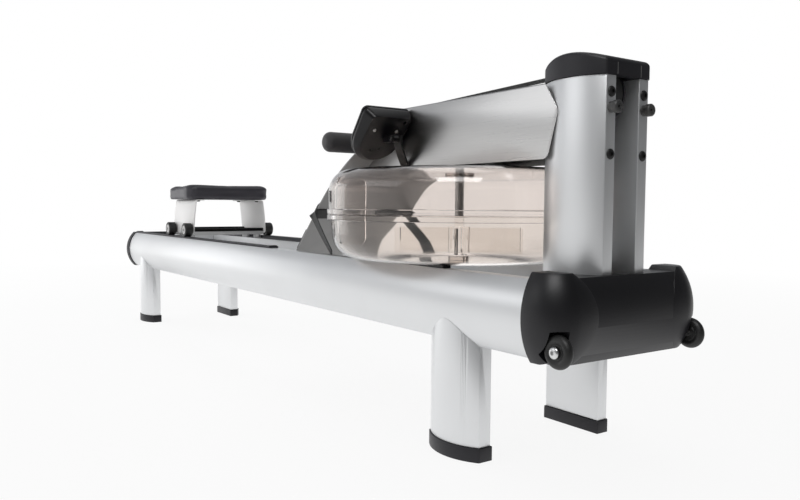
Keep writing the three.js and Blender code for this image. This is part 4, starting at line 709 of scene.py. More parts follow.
# %% The bulging bar
def bulged_bar(axis, low, high, inner, edge, bulge, start, end, proud=0):
    """A bar on the left side; low and high bound its flat, and it bulges towards +y."""
    half = (high - low) / 2
    radius = (half ** 2 + bulge ** 2) / (2 * bulge)
    depth = inner + edge + bulge - radius
    middle = (low + high) / 2
    ends = [at(end, depth, middle), at(start, depth, middle)]
    if axis == "Z":
        ends = [at(middle, depth, start), at(middle, depth, end)]
    bar = rod(*ends, radius + proud, sides=240)
    out = Vector((0, 0, 1)) if axis == "X" else Vector((1, 0, 0))
    slice_off(bar, at(middle, inner - proud, middle), Vector((0, -1, 0)))
    for side, limit in ((1, high + proud), (-1, low - proud)):
        point = at(0, 0, limit) if axis == "X" else at(limit, 0, 0)
        slice_off(bar, point, out * side)
    return bar


rail_bottom, rail_top, rail_inner, rail_edge, rail_bulge = 200, 324, 137, 25.5, 25
rail_rear = -2047
rail_profile = (rail_bottom, rail_top, rail_inner, rail_edge, rail_bulge)


def rail_bar(grow=0):
    return bulged_bar("X", *rail_profile, rail_rear, rail_front, grow)


rail = round_edges(rail_bar(), 1.0, 2, 50)
settle_pair(rail, "SIDE_rail", "frame", silver_long, "silver_profile", "rail_SIDE")

# %% [markdown]
# A leg stops under its rail and is coped round the bulge, as a tube is fitted to another tube.
# The cope is one Boolean with the rail's own shape, a hair larger. Each foot is the same slice,
# 2.5 mm proud all round, with rounded edges.

# %% Legs and feet
leg_bulge, leg_depth, leg_spacing = 23, 136, 1826
leg_reach = 262  # far enough up into the rail for the cope
cope_drop = 8  # the cope's lowest point lies this far below the rail's flat side
foot_height, foot_proud = 25, 2.5


def leg_pair(x, end):
    profile = (x - leg_depth, x, rail_inner, rail_edge, leg_bulge)
    leg = bulged_bar("Z", *profile, foot_height + 0.3, leg_reach)
    round_edges(leg, 1.0, 2, 50)
    combine(leg, rail_bar(0.3))
    cope_low, outer_y = at(0, 0, rail_bottom - cope_drop).z, at(0, rail_inner + 4, 0).y
    round_chosen(leg, 0.8, 2, lambda edge: min(v.co.z for v in edge.verts) > cope_low
                 and edge.calc_face_angle(0) > 0.7 and edge.verts[0].co.y > outer_y)
    soften(leg)
    foot = bulged_bar("Z", *profile, 0, foot_height, foot_proud)
    round_edges(foot, 2.2, 3, 50)
    legs = settle_pair(leg, f"{end}_leg_SIDE", "frame", silver_tall, "silver_profile", f"leg_{end}_SIDE")
    for piece in legs:
        # The cope's upward faces get the near-white edge finish, a painted highlight along the cut.
        trim(piece, cut_edge_painted_highlight, lambda face: face.center.z > cope_low and face.normal.z > 0.3)
    settle_pair(foot, f"{end}_foot_SIDE", "frame", cap_plastic, "black_rubber", f"foot_{end}_SIDE")


leg_pair(0, "front")
leg_pair(-leg_spacing, "rear")

# %% [markdown]
# The two posts are lengths of a smaller profile, with their flat sides facing each other.

# %% Posts
post_rear, post_front, post_inner, post_edge, post_bulge = 32, 162, 28.5, 22.5, 22
post_base, post_top = 318.3, 644
post = bulged_bar("Z", post_rear, post_front, post_inner, post_edge, post_bulge, post_base, post_top)
round_edges(post, 1.3, 3, 50)
settle_pair(post, "SIDE_post", "frame", silver_tall, "silver_profile", "post_SIDE")

# %% [markdown]
# ## Bolts
#
# Button-head bolts with a hexagonal socket hold the posts, the transport wheels and, smaller,
# the monitor. One is turned from a profile with a quarter arc, and a six-sided rod cuts the
# socket; the rest are the same recipe at another size.

# %% One recipe for every bolt
def button_bolt(centre, along, radius, height, socket, sunk=0):
    """A domed head whose flat underside is at the centre, with its shank sunk behind it."""
    along = Vector(along)
    out = along.orthogonal().normalized()
    dome = [(radius * math.cos(a), height * (0.25 + 0.75 * math.sin(a))) for a in
            [math.pi / 2 * i / 6 for i in range(6)]]
    profile = [(0, -sunk), (radius * 0.5, -sunk), (radius * 0.5, 0), (radius, 0), *dome, (0, height)]
    head = turned(profile, centre, along, out, 32)
    hollow = rod(centre + along * height * 0.35 * mm, centre + along * height * 2 * mm, socket, 6)
    return soften(combine(head, hollow), 40)


post_face_y = post_inner + post_edge / 2
post_bolt_size = (8.6, 4.2, 3.6)  # radius and height of the head, radius of the socket
for side, sign in sides:
    for place, height in (("upper", 617.5), ("lower", 519.5)):
        bolt = button_bolt(at(post_front - 0.2, sign * post_face_y, height), (1, 0, 0), *post_bolt_size)
        settle(bolt, f"post_bolt_{place}_{side}", "frame", black_metal, "black_metal")

# %% [markdown]
# In front of each post stands a short rubber buffer with a screw down its middle. It is a turned
# piece too, but with a flat, chamfered end.

# %% Buffers
buffer_height = 593
buffer_line = [
    (0, 0), (8.8, 0), (8.8, 6), (9.6, 7), (10.2, 8), (10.2, 15), (9, 16.4), (5.4, 16.6), (4.8, 15), (0, 15),
]
for side, sign in sides:
    buffer_foot = at(post_front + 0.3, sign * post_face_y, buffer_height)
    buffer = turned(buffer_line, buffer_foot, (1, 0, 0), (0, 0, 1), 48)
    along_x = Vector((mm, 0, 0))
    combine(buffer, rod(buffer_foot + along_x * 11, buffer_foot + along_x * 20, 2.6, 6))
    settle(soften(buffer, 35), f"{side}_buffer", "frame", dark_rubber, "grey_rubber", f"buffer_{side}")

# %% [markdown]
# ## The cap over the posts
#
# The black cap has the outline of both posts together and an arched top. Its outline is traced,
# pushed up and drawn in over a quarter circle, which gives the moulded edge; the top is closed
# with strips from side to side, which bend cleanly when the middle is raised into the arch.
# Two fine ridges on its front mark where the posts' inner faces lie; their pale grey is a painted
# highlight. A mouth at the back lets the strap in to the pulley.

# %% Post cap
cap_proud, cap_bottom, cap_edge_top, cap_crown = 2.5, post_top + 0.3, 670.5, 12.8
cap_edge_round, cap_corner = 6.5, 5


def cap_outline(proud, z):
    half = (post_front - post_rear) / 2
    middle = (post_front + post_rear) / 2
    radius = (half ** 2 + post_bulge ** 2) / (2 * post_bulge)
    depth = post_inner + post_edge + post_bulge - radius
    grown = radius + proud
    swing = math.degrees(math.asin((half + proud) / grown))
    side = arc(depth, middle, grown, -swing, swing, 28)
    left = [at(x, y, z) for y, x in side]
    right = [at(x, -y, z) for y, x in reversed(side)]
    return left + right


def push(step, size=(1, 1), centre=(0, 0, 0)):
    """Pushes the chosen face along z and resizes it about a centre."""
    bpy.ops.mesh.extrude_region_move(TRANSFORM_OT_translate={"value": (0, 0, step * mm)})
    bpy.ops.transform.resize(value=(*size, 1), center_override=centre)


def cap_body():
    """The outline pushed up, drawn in over a quarter circle, closed and then arched."""
    middle, half = (post_front + post_rear) / 2, (post_front - post_rear) / 2 + cap_proud
    centre = at(middle, 0, 0)
    body = trace(cap_outline(cap_proud, cap_bottom))
    ends = (at(post_front + cap_proud, 0, 0).x, at(post_rear - cap_proud, 0, 0).x)
    choose(body, "verts", lambda v: min(abs(v.co.x - end) for end in ends) < 1e-6)
    bpy.ops.mesh.bevel(offset=cap_corner * mm, segments=5, affect="VERTICES")
    edit_all(body)
    push(cap_edge_top - cap_edge_round - cap_bottom)
    drawn_in, height = 0, 0
    for i in range(1, 9):
        angle = math.pi / 2 * i / 8
        now_in, now_up = cap_edge_round * (1 - math.cos(angle)), cap_edge_round * math.sin(angle)
        size = (half - now_in) / (half - drawn_in)
        push(now_up - height, (size, size), centre)
        drawn_in, height = now_in, now_up
    bpy.ops.mesh.delete(type="ONLY_FACE")
    bpy.ops.object.mode_set(mode="OBJECT")
    top = max(v.co.z for v in body.data.vertices)
    choose(body, "edges", lambda edge: all(abs(v.co.z - top) < 1e-6 for v in edge.verts)
           and edge.verts[0].co.y * edge.verts[1].co.y > 0)
    bpy.ops.mesh.bridge_edge_loops()
    bpy.ops.object.mode_set(mode="OBJECT")
    above = at(0, 0, cap_bottom + 5).z
    for vertex in body.data.vertices:
        if vertex.co.z > above:
            share = (vertex.co.x - centre.x) / (half * mm)
            vertex.co.z += cap_crown * mm * (1 - share * share)
    return tidy(body)


cap_room = (45, 149, -24, 24, 600, cap_bottom + 26)
strap_mouth = (0, 97, -15.5, 15.5, 657.4, 675.4)
cap = cap_body()
combine(cap, block(*cap_room))
combine(cap, block(*strap_mouth))
soften(cap, 32)
settle(cap, "posts_cap", "frame", cap_plastic, "black_plastic", "post_cap")
cap_front = post_front + cap_proud
for side, sign in sides:
    groove_y = sign * post_inner
    # A pale grey ridge: a painted highlight on the black cap.
    seam = block(cap_front - 1.5, cap_front + 0.35, groove_y - 0.6, groove_y + 0.6, cap_bottom + 1, 664)
    round_edges(seam, 0.25, 2)
    settle(seam, f"cap_seam_painted_highlight_{side}", "frame", grey_rubber, "grey_rubber")

# %% [markdown]
# ## The front shroud
#
# The shroud is one moulding: a bar with a bulging front between two lobes that wrap the rail
# ends. A lobe's side and front bulge alike and meet in a rounded corner. That is what a spin
# makes: the bulging profile is pushed forward along the rail, spun a quarter turn round an
# upright axis and pushed on across the front.

# %% Shroud
shroud_rear, shroud_front, shroud_side = 120, 170, rail_inner + rail_edge + 3.3
lobe_bottom, lobe_top, lobe_bulge, lobe_corner = 194, 336, 22.5, 36
bar_half_length, bar_top = 131, 328
lobe_widest = 92  # where a lobe's middle meets the bar


def bulge_profile(low, high, bulge, steps=24):
    """Heights and how far the bulge stands out there, from bottom to top."""
    half = (high - low) / 2
    radius = (half ** 2 + bulge ** 2) / (2 * bulge)
    swing = math.degrees(math.asin(half / radius))
    middle, sunk = (low + high) / 2, radius - bulge
    return [(z + middle, out - sunk) for out, z in arc(0, 0, radius, -swing, swing, steps)]


def lobe():
    """The left lobe, from its rear edge round to its inner side."""
    corner_x, corner_y = shroud_front - lobe_corner, shroud_side - lobe_corner
    profile = bulge_profile(lobe_bottom, lobe_top, lobe_bulge)
    side = [at(shroud_rear, shroud_side + out, z) for z, out in profile]
    side = [at(shroud_rear, corner_y, lobe_bottom), *side, at(shroud_rear, corner_y, lobe_top)]
    shape = prism(side, Vector(((corner_x - shroud_rear) * mm, 0, 0)))
    front_face = at(corner_x, 0, 0).x
    choose(shape, "faces", lambda face: all(abs(v.co.x - front_face) < 1e-6 for v in face.verts))
    bpy.ops.mesh.spin(steps=20, angle=math.pi / 2, center=at(corner_x, corner_y, 0), axis=(0, 0, 1))
    tidy(shape)
    drop_inner_faces(shape)
    inner_face = at(0, corner_y, 0).y
    choose(shape, "faces", lambda face: abs(face.normal.y + 1) < 1e-4
           and all(abs(v.co.y - inner_face) < 1e-6 for v in face.verts))
    bpy.ops.mesh.extrude_region_move(TRANSFORM_OT_translate={"value": (0, -60 * mm, 0)})
    tidy(shape)
    return combine(shape, lobe_end(), "INTERSECT")


def lobe_end():
    """Seen from the front, a lobe ends in an arc: widest at its middle, where it joins the bar."""
    reach, half = 36, (lobe_top - lobe_bottom) / 2
    radius = (half ** 2 + reach ** 2) / (2 * reach)
    swing = math.degrees(math.asin(half / radius))
    middle = (lobe_top + lobe_bottom) / 2
    inner = arc(lobe_widest + radius, middle, radius, 180 + swing, 180 - swing, 24)
    line = [(240, lobe_bottom - 1), *inner, (240, lobe_top + 1)]
    return prism([at(100, y, z) for y, z in line], Vector((120 * mm, 0, 0)))


def shroud_bar():
    """The bar has almost the lobes' bulge, so the step to a lobe fades away below its top."""
    profile = bulge_profile(lobe_bottom + 0.5, lobe_top - 2, lobe_bulge - 0.3)
    side = [at(shroud_front + out, -bar_half_length, z) for z, out in profile]
    side = [at(shroud_rear, -bar_half_length, lobe_bottom + 0.5), *side,
            at(shroud_rear, -bar_half_length, lobe_top - 2)]
    bar = prism(side, Vector((0, 2 * bar_half_length * mm, 0)))
    slice_off(bar, at(0, 0, bar_top), Vector((0, 0, 1)))
    return bar


def both_sides(piece, make_tool):
    """Cuts the same shape out of the left and of the right."""
    combine(piece, mirrored_away(make_tool()))
    combine(piece, make_tool())


def mirrored_away(tool):
    twin = mirrored(tool)
    bpy.data.objects.remove(tool, do_unlink=True)
    return twin


# %% [markdown]
# The wheels stand in pockets in the lobes' lower front corners. The skirt beside a pocket ends
# in a round corner, so its outline is traced with one arc. Behind, the moulding is hollow: it
# slips over the rail ends, and the posts stand in a notch of their own shape.

# %% Shroud: pockets, hollow and notch
pocket_rear, pocket_ceiling, pocket_inner, skirt_round = 176, 250.5, 151, 42
wheel_x, wheel_y, wheel_z, wheel_radius, wheel_half = 177, 163, 219.5, 26.5, 8.5
moulded_wall, tunnel_radius = 3, 4.3
hollow_inner, hollow_edge, hollow_bulge, hollow_rear = rail_inner - 0.5, rail_edge + 3, 20, 100
notch_base, notch_height = 300, 60


def pocket():
    corner = arc(pocket_rear - skirt_round, lobe_bottom + skirt_round, skirt_round, 0, -90, 10)
    line = [(pocket_rear, pocket_ceiling), *corner, (pocket_rear - skirt_round, 180), (230, 180),
            (230, pocket_ceiling)]
    skirt = prism([at(x, pocket_inner, z) for x, z in line], Vector((0, 80 * mm, 0)))
    room = rod(at(wheel_x, pocket_inner, wheel_z), at(wheel_x, wheel_y + 12, wheel_z), wheel_radius + 4, 64)
    return combine(skirt, room, "UNION")


def lobe_hollow():
    """Room for the end of a rail."""
    profile = (lobe_bottom + moulded_wall, lobe_top - moulded_wall, hollow_inner, hollow_edge, hollow_bulge)
    return bulged_bar("X", *profile, hollow_rear, rail_front + 1)


def bolt_tunnel():
    return rod(at(wheel_x, 140, wheel_z), at(wheel_x, 200, wheel_z), tunnel_radius, 24)


shroud = round_edges(lobe(), 3.0, 3, 38)
combine(shroud, mirrored(shroud), "UNION")
combine(shroud, shroud_bar(), "UNION")
both_sides(shroud, pocket)
both_sides(shroud, lobe_hollow)
both_sides(shroud, bolt_tunnel)
bar_room = (hollow_rear, shroud_front - moulded_wall, -bar_half_length, bar_half_length)
combine(shroud, block(*bar_room, lobe_bottom + 5, bar_top - moulded_wall))
combine(shroud, prism(cap_outline(0.3, notch_base), Vector((0, 0, notch_height * mm))))
soften(shroud, 22)
settle(shroud, "shroud", "frame", shroud_plastic, "black_plastic", "front_shroud")

# %% [markdown]
# ## Transport wheels
#
# Each wheel is a solid rubber tyre of round section on a flat hub, turned from one profile, and
# runs on a bright button-head bolt.

# %% Wheels in the shroud
tyre_middle = wheel_radius - wheel_half
tyre = [(tyre_middle + wheel_half * math.cos(a), wheel_half * math.sin(a)) for a in
        [math.pi * (i / 16 - 0.5) for i in range(17)]]
hub_line = [(4.6, -6.8), (12.5, -6.8), (13.2, -6.2), (tyre_middle - 1, -wheel_half + 0.4)]
wheel_line = [*hub_line, *tyre, *[(r, -y) for r, y in reversed(hub_line)], (4.6, -6.4)]
wheel = soften(turned(wheel_line, at(wheel_x, wheel_y, wheel_z), (0, 1, 0), (1, 0, 0), 72), 40)
wheel_name = "truck_wheel_SIDE"
settle_pair(wheel, "transport_wheel_SIDE", wheel_name, black_rubber, "black_rubber", wheel_name)
wheel_bolt_y = 172
wheel_bolt_size = (9.6, 5.6, 3.6, 27)  # as the posts' bolts, and how deep the shank is sunk
for side, sign in sides:
    bolt = button_bolt(at(wheel_x, sign * wheel_bolt_y, wheel_z), (0, sign, 0), *wheel_bolt_size)
    settle(bolt, f"transport_bolt_{side}", "frame", bright_steel, "bright_steel", f"truck_bolt_{side}")

# %% [markdown]
# ## The tank
#
# Two moulded shells meet in a flange with a seal between. Both are bodies of revolution, so each
# is one profile, inner wall and outer wall together, spun round the shaft. Thick walls with both
# surfaces matter here: refraction needs a place where the light enters and one where it leaves.

# %% Tank shells, ribs and water
tank_x, tank_bottom, wall = -258, 328.6, 4
low_radius, high_radius, flange_radius = 265, 269.5, 273
flange_low, flange_meet, flange_high, flange_top = 406.5, 416.8, 418.6, 428.9
low_fillet, high_fillet, tank_top, mouth = 52, 44, 508.5, 30
tank_centre = at(tank_x, 0, 0)


def tank_turned(profile):
    return turned(profile, tank_centre, (0, 0, 1), (1, 0, 0), 144)


rib_turn, rib_count, rib_depth, rib_sheet, rib_corner = -101, 3, 58, 3, 12


def rib_ring(shell, bottom, top, radius, round_low):
    """Thin plates inside the wall, the inner corner rounded at the bottom or at the top."""
    outer, inner = radius + wall / 2, radius - rib_depth
    middle = inner + rib_corner
    if round_low:
        edge = [*arc(middle, bottom + rib_corner, rib_corner, 270, 180, 5), (inner, top)]
    else:
        edge = [(inner, bottom), *arc(middle, top - rib_corner, rib_corner, 180, 90, 5)]
    for i in range(rib_count):
        turn = math.radians(360 / rib_count * i + rib_turn)
        out = Vector((math.cos(turn), math.sin(turn), 0))
        side = Vector((-math.sin(turn), math.cos(turn), 0))
        start = tank_centre - side * rib_sheet / 2 * mm
        line = [(outer, bottom), *edge, (outer, top)]
        points = [start + out * r * mm + Vector((0, 0, z * mm)) for r, z in line]
        combine(shell, prism(points, side * rib_sheet * mm), "UNION")
    return shell


boss_radius, boss_top = 20, tank_bottom + wall + 8
low_middle = (low_radius - 2 - low_fillet, tank_bottom + low_fillet)
low_profile = [
    (0, tank_bottom),
    *arc(*low_middle, low_fillet, -90, 0, 14),
    (low_radius, flange_low), (flange_radius - 1.2, flange_low), (flange_radius, flange_low + 1.2),
    (flange_radius, flange_meet - 0.6), (flange_radius - 0.6, flange_meet),
    (low_radius - wall, flange_meet),
    *arc(*low_middle, low_fillet - wall, 0, -90, 14),
    (boss_radius, tank_bottom + wall), (boss_radius, boss_top), (0, boss_top),
]
high_middle = (high_radius - high_fillet, tank_top - high_fillet)
high_profile = [
    (high_radius - wall, flange_high),
    (flange_radius - 0.6, flange_high), (flange_radius, flange_high + 0.6),
    (flange_radius, flange_top - 1.2), (flange_radius - 1.2, flange_top), (high_radius, flange_top),
    *arc(*high_middle, high_fillet, 0, 90, 14),
    (mouth, tank_top), (mouth, tank_top - wall),
    *arc(*high_middle, high_fillet - wall, 90, 0, 14),
    (high_radius - wall, flange_high),
]
low_ribs, high_ribs = (362, flange_meet - 1), (flange_high + 1, 490)
low_shell = rib_ring(tank_turned(low_profile), *low_ribs, low_radius - 2 - wall, True)
high_shell = rib_ring(tank_turned(high_profile), *high_ribs, high_radius - wall, False)
settle(soften(low_shell, 25), "tank_low_half", "frame", lower_clear, "clear_shell", "tank_lower_shell")
settle(soften(high_shell, 25), "tank_high_half", "frame", shell_clear, "clear_shell", "tank_upper_shell")

water_level, water_gap = 419, 0.3
water_line = [
    (0, boss_top + water_gap), (boss_radius + water_gap, boss_top + water_gap),
    (boss_radius + water_gap, tank_bottom + wall + water_gap),
    *arc(*low_middle, low_fillet - wall - water_gap, -90, 0, 14),
    (low_radius - wall - water_gap, water_level), (0, water_level),
]
settle(soften(tank_turned(water_line), 25), "tank_contents", "frame", water_clear, "water", "tank_water")

# %% [markdown]
# The rotor is a steel shaft with six clear, slightly dished blades moulded on a hub. In water a
# clear plastic nearly disappears, and only the blades' edges show.

# %% Rotor
shaft_line = [(0, 418), (8.2, 418), (9, 419), (9, 565), (8, 566), (0, 566)]
shaft = turned(shaft_line, tank_centre, (0, 0, 1), (1, 0, 0), 48)
settle(soften(shaft, 35), "rotor_shaft", "rotor", blade_steel, "bright_steel", "impeller")
hub_line = [(0, 346), (20, 346), (21, 347), (21, 396), (20, 397), (9.3, 397), (9.3, 417.6), (0, 417.6)]
blades = turned(hub_line, tank_centre, (0, 0, 1), (1, 0, 0), 48)
blade_count, blade_turn, blade_sheet, blade_base, blade_height = 6, 12, 2.5, 347, 48
dish = [(18, 0), (60, 3), (100, 9), (138, 19)]  # how far out on a blade, and its bend there
blade_foot = tank_centre + Vector((0, 0, blade_base * mm))
for i in range(blade_count):
    turn = math.radians(360 / blade_count * i + blade_turn)
    out = Vector((math.cos(turn), math.sin(turn), 0))
    side = Vector((-math.sin(turn), math.cos(turn), 0))
    face = [blade_foot + (out * reach + side * bend) * mm for reach, bend in dish]
    back = [point - side * blade_sheet * mm for point in reversed(face)]
    combine(blades, prism([*face, *back], Vector((0, 0, blade_height * mm))), "UNION")
settle(soften(blades, 35), "rotor_blades", "rotor", blade_clear, "clear_shell")

# %% [markdown]
# Some CAD solids already have all the shape that shows. They stay, and only get a finish.

# %% Solids that stay
repaint(black_rubber, "tank_rest_left", "tank_rest_right")
repaint(seal_clear, "tank_seal", "tank_bearing")
repaint(track_plastic, "clutch_drum", "idler_pulley", "deck_end")
repaint(silver_long, "rear_crossmember")
repaint(black_metal, "front_crossmember", "handle_yoke")
repaint(bar_and_axles, "seat_underframe")

# %% [markdown]
# ## The deck
#
# The deck is one folded sheet: two side plates hang from a top, with a small bend radius between
# them. Modelled as a solid of the side plate's outline first, its long top edges are rounded,
# and the inside is then cut away, which leaves a sheet with a true inner and outer face.

# %% Deck
deck_top, deck_low, deck_outer, deck_sheet = 641, 515.5, 74.6, 2.5
deck_rear, deck_lean, deck_top_front = -434, math.radians(27), 29
nose = {"top": (51.5, deck_top), "high": (77, 602), "tip": (79.8, 589), "low": (63, 531)}
nose_round = 14


def deck_rear_x(z):
    return deck_rear - (deck_top - z) * math.tan(deck_lean)


def curve(start, bend, end, steps=10):
    """A quadratic curve, as a draughtsman's spline with one handle."""
    points = []
    for i in range(1, steps + 1):
        t = i / steps
        points.append(tuple(
            (1 - t) ** 2 * a + 2 * t * (1 - t) * b + t * t * c for a, b, c in zip(start, bend, end)
        ))
    return points


def deck_outline():
    low_end = (nose["low"][0] - nose_round - 2, deck_low)
    return [
        (deck_rear_x(deck_low), deck_low), low_end,
        *curve(low_end, (nose["low"][0] - 3, deck_low), nose["low"], 7),
        nose["tip"], *curve(nose["tip"], (80.2, 596.5), nose["high"], 5), nose["top"],
        (deck_rear, deck_top),
    ]


deck = prism([at(x, -deck_outer, z) for x, z in deck_outline()], Vector((0, 2 * deck_outer * mm, 0)))
top_z, edge_y = at(0, 0, deck_top).z, deck_outer * mm
round_chosen(deck, 3.5, 4, lambda edge: all(
    abs(v.co.z - top_z) < 1e-6 and abs(abs(v.co.y) - edge_y) < 1e-6 for v in edge.verts))
inner_side = deck_outer - deck_sheet
combine(deck, block(-700, 200, -inner_side, inner_side, 400, deck_top - deck_sheet))
combine(deck, block(deck_top_front, 200, -inner_side, inner_side, 400, 700))
round_chosen(deck, 0.6, 2, lambda edge: min(v.co.x for v in edge.verts) > at(45, 0, 0).x
             and edge.calc_length() > 2 * mm and edge.calc_face_angle(0) > 1.2)
soften(deck, 25)
settle(deck, "deck", "frame", deck_metal, "brushed_sheet", "deck_cover")
# The nose's cut edges get the near-white edge finish, a painted highlight.
trim(deck, cut_edge_painted_highlight, lambda face: abs(face.normal.y) < 0.75 and face.center.x > at(20, 0, 0).x
     and abs(face.center.y) > 70 * mm)

# %% [markdown]
# ## The footboard and its straps
#
# The footboard is one sheet, straight where the heels rest and curved forward above. Its side
# view is traced and pushed across, then notched for the deck and slotted for the straps.

# %% Footboard
knee_x, knee_z, slope, straight, board_radius, board_curve = -615, 433, math.radians(44), 178, 650, 20.5
board_half, board_sheet = 136.7, 3


def on_slope(x, y, z):
    """A place measured up the board's straight part, across it, and out from its face."""
    ahead = knee_x + x * math.cos(slope) - z * math.sin(slope)
    return at(ahead, y, knee_z + x * math.sin(slope) + z * math.cos(slope))


def board_line(depth):
    """The board's side view at a depth below its face, from the foot up round the curve."""
    centre_x = knee_x + board_radius * math.sin(slope)
    centre_z = knee_z - board_radius * math.cos(slope)
    radius = board_radius - depth
    points = []
    for i in range(17):
        angle = slope - math.radians(board_curve) * i / 16
        points.append((centre_x - radius * math.sin(angle), centre_z + radius * math.cos(angle)))
    foot_x = knee_x + depth * math.sin(slope) - straight * math.cos(slope)
    foot_z = knee_z - depth * math.cos(slope) - straight * math.sin(slope)
    return [(foot_x, foot_z), *points]


board_outline = [*board_line(0), *reversed(board_line(board_sheet))]
board = prism([at(x, -board_half, z) for x, z in board_outline], Vector((0, 2 * board_half * mm, 0)))
notch_rear = deck_rear_x(deck_low) - 1
combine(board, block(notch_rear, tank_x, -deck_outer - 1, deck_outer + 1, deck_low - 3, deck_top + 20))
slot_y, slot_low, slot_high, slot_half = 24, -39, -3, 4
for sign in (1, -1):
    slot = [(slot_low, -slot_half), (slot_high, -slot_half), (slot_high, slot_half), (slot_low, slot_half)]
    slot_corners = [on_slope(x, sign * slot_y + y, -20) for x, y in slot]
    combine(board, prism(slot_corners, on_slope(0, 0, 40) - on_slope(0, 0, 0)))
round_edges(board, 0.7, 2, 50)
settle(board, "foot_plate", "frame", board_lacquer, "grey_sheet", "footboard")

# %% [markdown]
# The heel rests are shallow cups that slide on the board. Their CAD solids have the right place
# and width, so a copy is cut down to a lower lip and its edges are rounded.

# %% Heel rests
heel_lip = 16
for side in ("left", "right"):
    cup = tidy(copied(frame["nodes"][f"heel_rest_{side}"]))
    slice_off(cup, on_slope(0, 0, heel_lip), (on_slope(0, 0, 1) - on_slope(0, 0, 0)).normalized())
    round_edges(cup, 1.2, 3, 40)
    body, node = f"heel_rest_{side[0]}", f"heel_rest_{side}"
    settle(cup, f"{side}_heel_cup", body, track_plastic, "black_plastic", node)

# %% [markdown]
# The tracks keep their CAD form, but the stops at their ends are hardly higher than the strip.

# %% Seat tracks
stop_top = 331
for side in ("left", "right"):
    strip = tidy(copied(frame["nodes"][f"seat_track_{side}"]))
    slice_off(strip, at(0, 0, stop_top), Vector((0, 0, 1)))
    round_edges(strip, 0.5, 2, 40)
    settle(strip, f"{side}_seat_strip", "frame", track_plastic, "black_plastic", f"seat_track_{side}")

# %% [markdown]
# Straps are modelled directly: a fine grid is laid along the strap's path, row by row, with its
# UV map set out in metres for the weave, and is given its thickness last.

# %% Straps
def through(points, steps):
    """A smooth path through a few places."""
    places = [points[0] * 2 - points[1], *points, points[-1] * 2 - points[-2]]
    path = []
    for a, b, c, d in zip(places, places[1:], places[2:], places[3:]):
        for i in range(steps):
            t = i / steps
            path.append(0.5 * (2 * b + (c - a) * t + (2 * a - 5 * b + 4 * c - d) * t * t
                               + (3 * b - a - 3 * c + d) * t ** 3))
    return [*path, points[-1]]


def strap(path, across, width, thickness):
    """A flat band along a path; across holds the direction of its width at each place."""
    rows = len(path) - 1
    lengths = [0.0]
    for before, after in zip(path, path[1:]):
        lengths.append(lengths[-1] + (after - before).length)
    flat = bring(bpy.ops.mesh.primitive_grid_add, x_subdivisions=rows, y_subdivisions=6, size=1)
    row_of = [round((v.co.x + 0.5) * rows) for v in flat.data.vertices]
    share_of = [v.co.y for v in flat.data.vertices]
    uv = flat.data.uv_layers.active.data
    for loop in flat.data.loops:
        corner = loop.vertex_index
        uv[loop.index].uv = (lengths[row_of[corner]], share_of[corner] * width * mm)
    for vertex, row, share in zip(flat.data.vertices, row_of, share_of):
        along = path[min(row + 1, rows)] - path[max(row - 1, 0)]
        side = across[row] - along * (across[row].dot(along) / along.length_squared)
        vertex.co = path[row] + side.normalized() * share * width * mm
    body = flat.modifiers.new("body", "SOLIDIFY")
    body.thickness = thickness * mm
    body.offset = 0
    body.use_even_offset = True
    only(flat)
    bpy.ops.object.modifier_apply(modifier=body.name)
    return soften(flat, 40)


across_y = Vector((0, 1, 0))
web_x, web_low, web_edge, web_inner, web_arch = -21, -4.3, 138, 24, 30


foot_web_width, tail_width, foot_web_thick, tail_turn = 30, 22, 2, 15


def foot_loop():
    """Along the board's underside, up through the slot, over the foot and back round the edge."""
    middle, reach = (web_edge + web_inner) / 2, (web_edge - web_inner) / 2
    line = [(y, web_low) for y in (80, 60, 40, 28)]
    line += [(web_inner + 0.4, -2.6)]
    for i in range(41):
        angle = math.pi * (1 - i / 40)
        narrowed = reach * math.cos(angle) * (1 - 0.22 * math.sin(angle))
        line.append((middle + narrowed, web_arch * math.sin(angle)))
    line += [(web_edge - 0.4, -2.6)]
    line += [(y, web_low) for y in (134, 120, 100, 82)]
    path = [on_slope(web_x, y, z) for y, z in line]
    up_board = on_slope(1, 0, 0) - on_slope(0, 0, 0)
    return strap(path, [up_board] * len(path), foot_web_width, foot_web_thick)


def loose_tail():
    """The strap's free end, which falls from the board's edge to the top of the rail."""
    start = on_slope(web_x, web_edge + 1, 0)
    x, z = (start.x - front_x) / mm, start.z / mm
    rest = rail_top + 2.3
    drop = z - rest
    path = through([
        at(x - 3, 139, z), at(x + 9, 144, z - drop * 0.10), at(x + 52, 147, z - drop * 0.52),
        at(x + 99, 147, rest + 1),
    ], 8)
    turns = [math.radians(tail_turn) * i / (len(path) - 1) for i in range(len(path))]
    across = [Vector((math.cos(turn), math.sin(turn), 0)) for turn in turns]
    return strap(path, across, tail_width, foot_web_thick)


left_loop = foot_loop()
only(loose_tail(), left_loop)
bpy.ops.object.join()
settle_pair(bpy.context.object, "SIDE_foot_strap", "frame", webbing, "webbing", "foot_strap_SIDE")

# %% [markdown]
# ## The handle and the drive strap
#
# The handle is a bar in closed-cell foam, its ends rounded; it lies against the deck's leaning
# rear edge. The strap leaves its clamp, runs over the deck, round the pulley under the cap and
# twists a quarter turn on its way down to the drum.

# %% Handle
handle_z, handle_radius, handle_half, handle_round = 574, 22, 188, 15
handle_x = deck_rear_x(handle_z) - (handle_radius + 0.3) / math.cos(deck_lean)
end_round = arc(-handle_half + handle_round, handle_radius - handle_round, handle_round, 180, 90, 8)
first_half = [(0, -handle_half), *[(r, y) for y, r in end_round]]
grip_line = [*first_half, *[(r, -y) for r, y in reversed(first_half)]]
grip = soften(turned(grip_line, at(handle_x, 0, handle_z), (0, 1, 0), (1, 0, 0), 64), 40)
settle(grip, "handle_foam", "handle", grip_foam, "foam", "handle_grip")

# %% [markdown]
# The lead leaves the handle at a tangent to its foam and ends on the deck's end. It rides on no
# body.

# %% Drive strap
drive_width, drive_thick = 22, 2.4


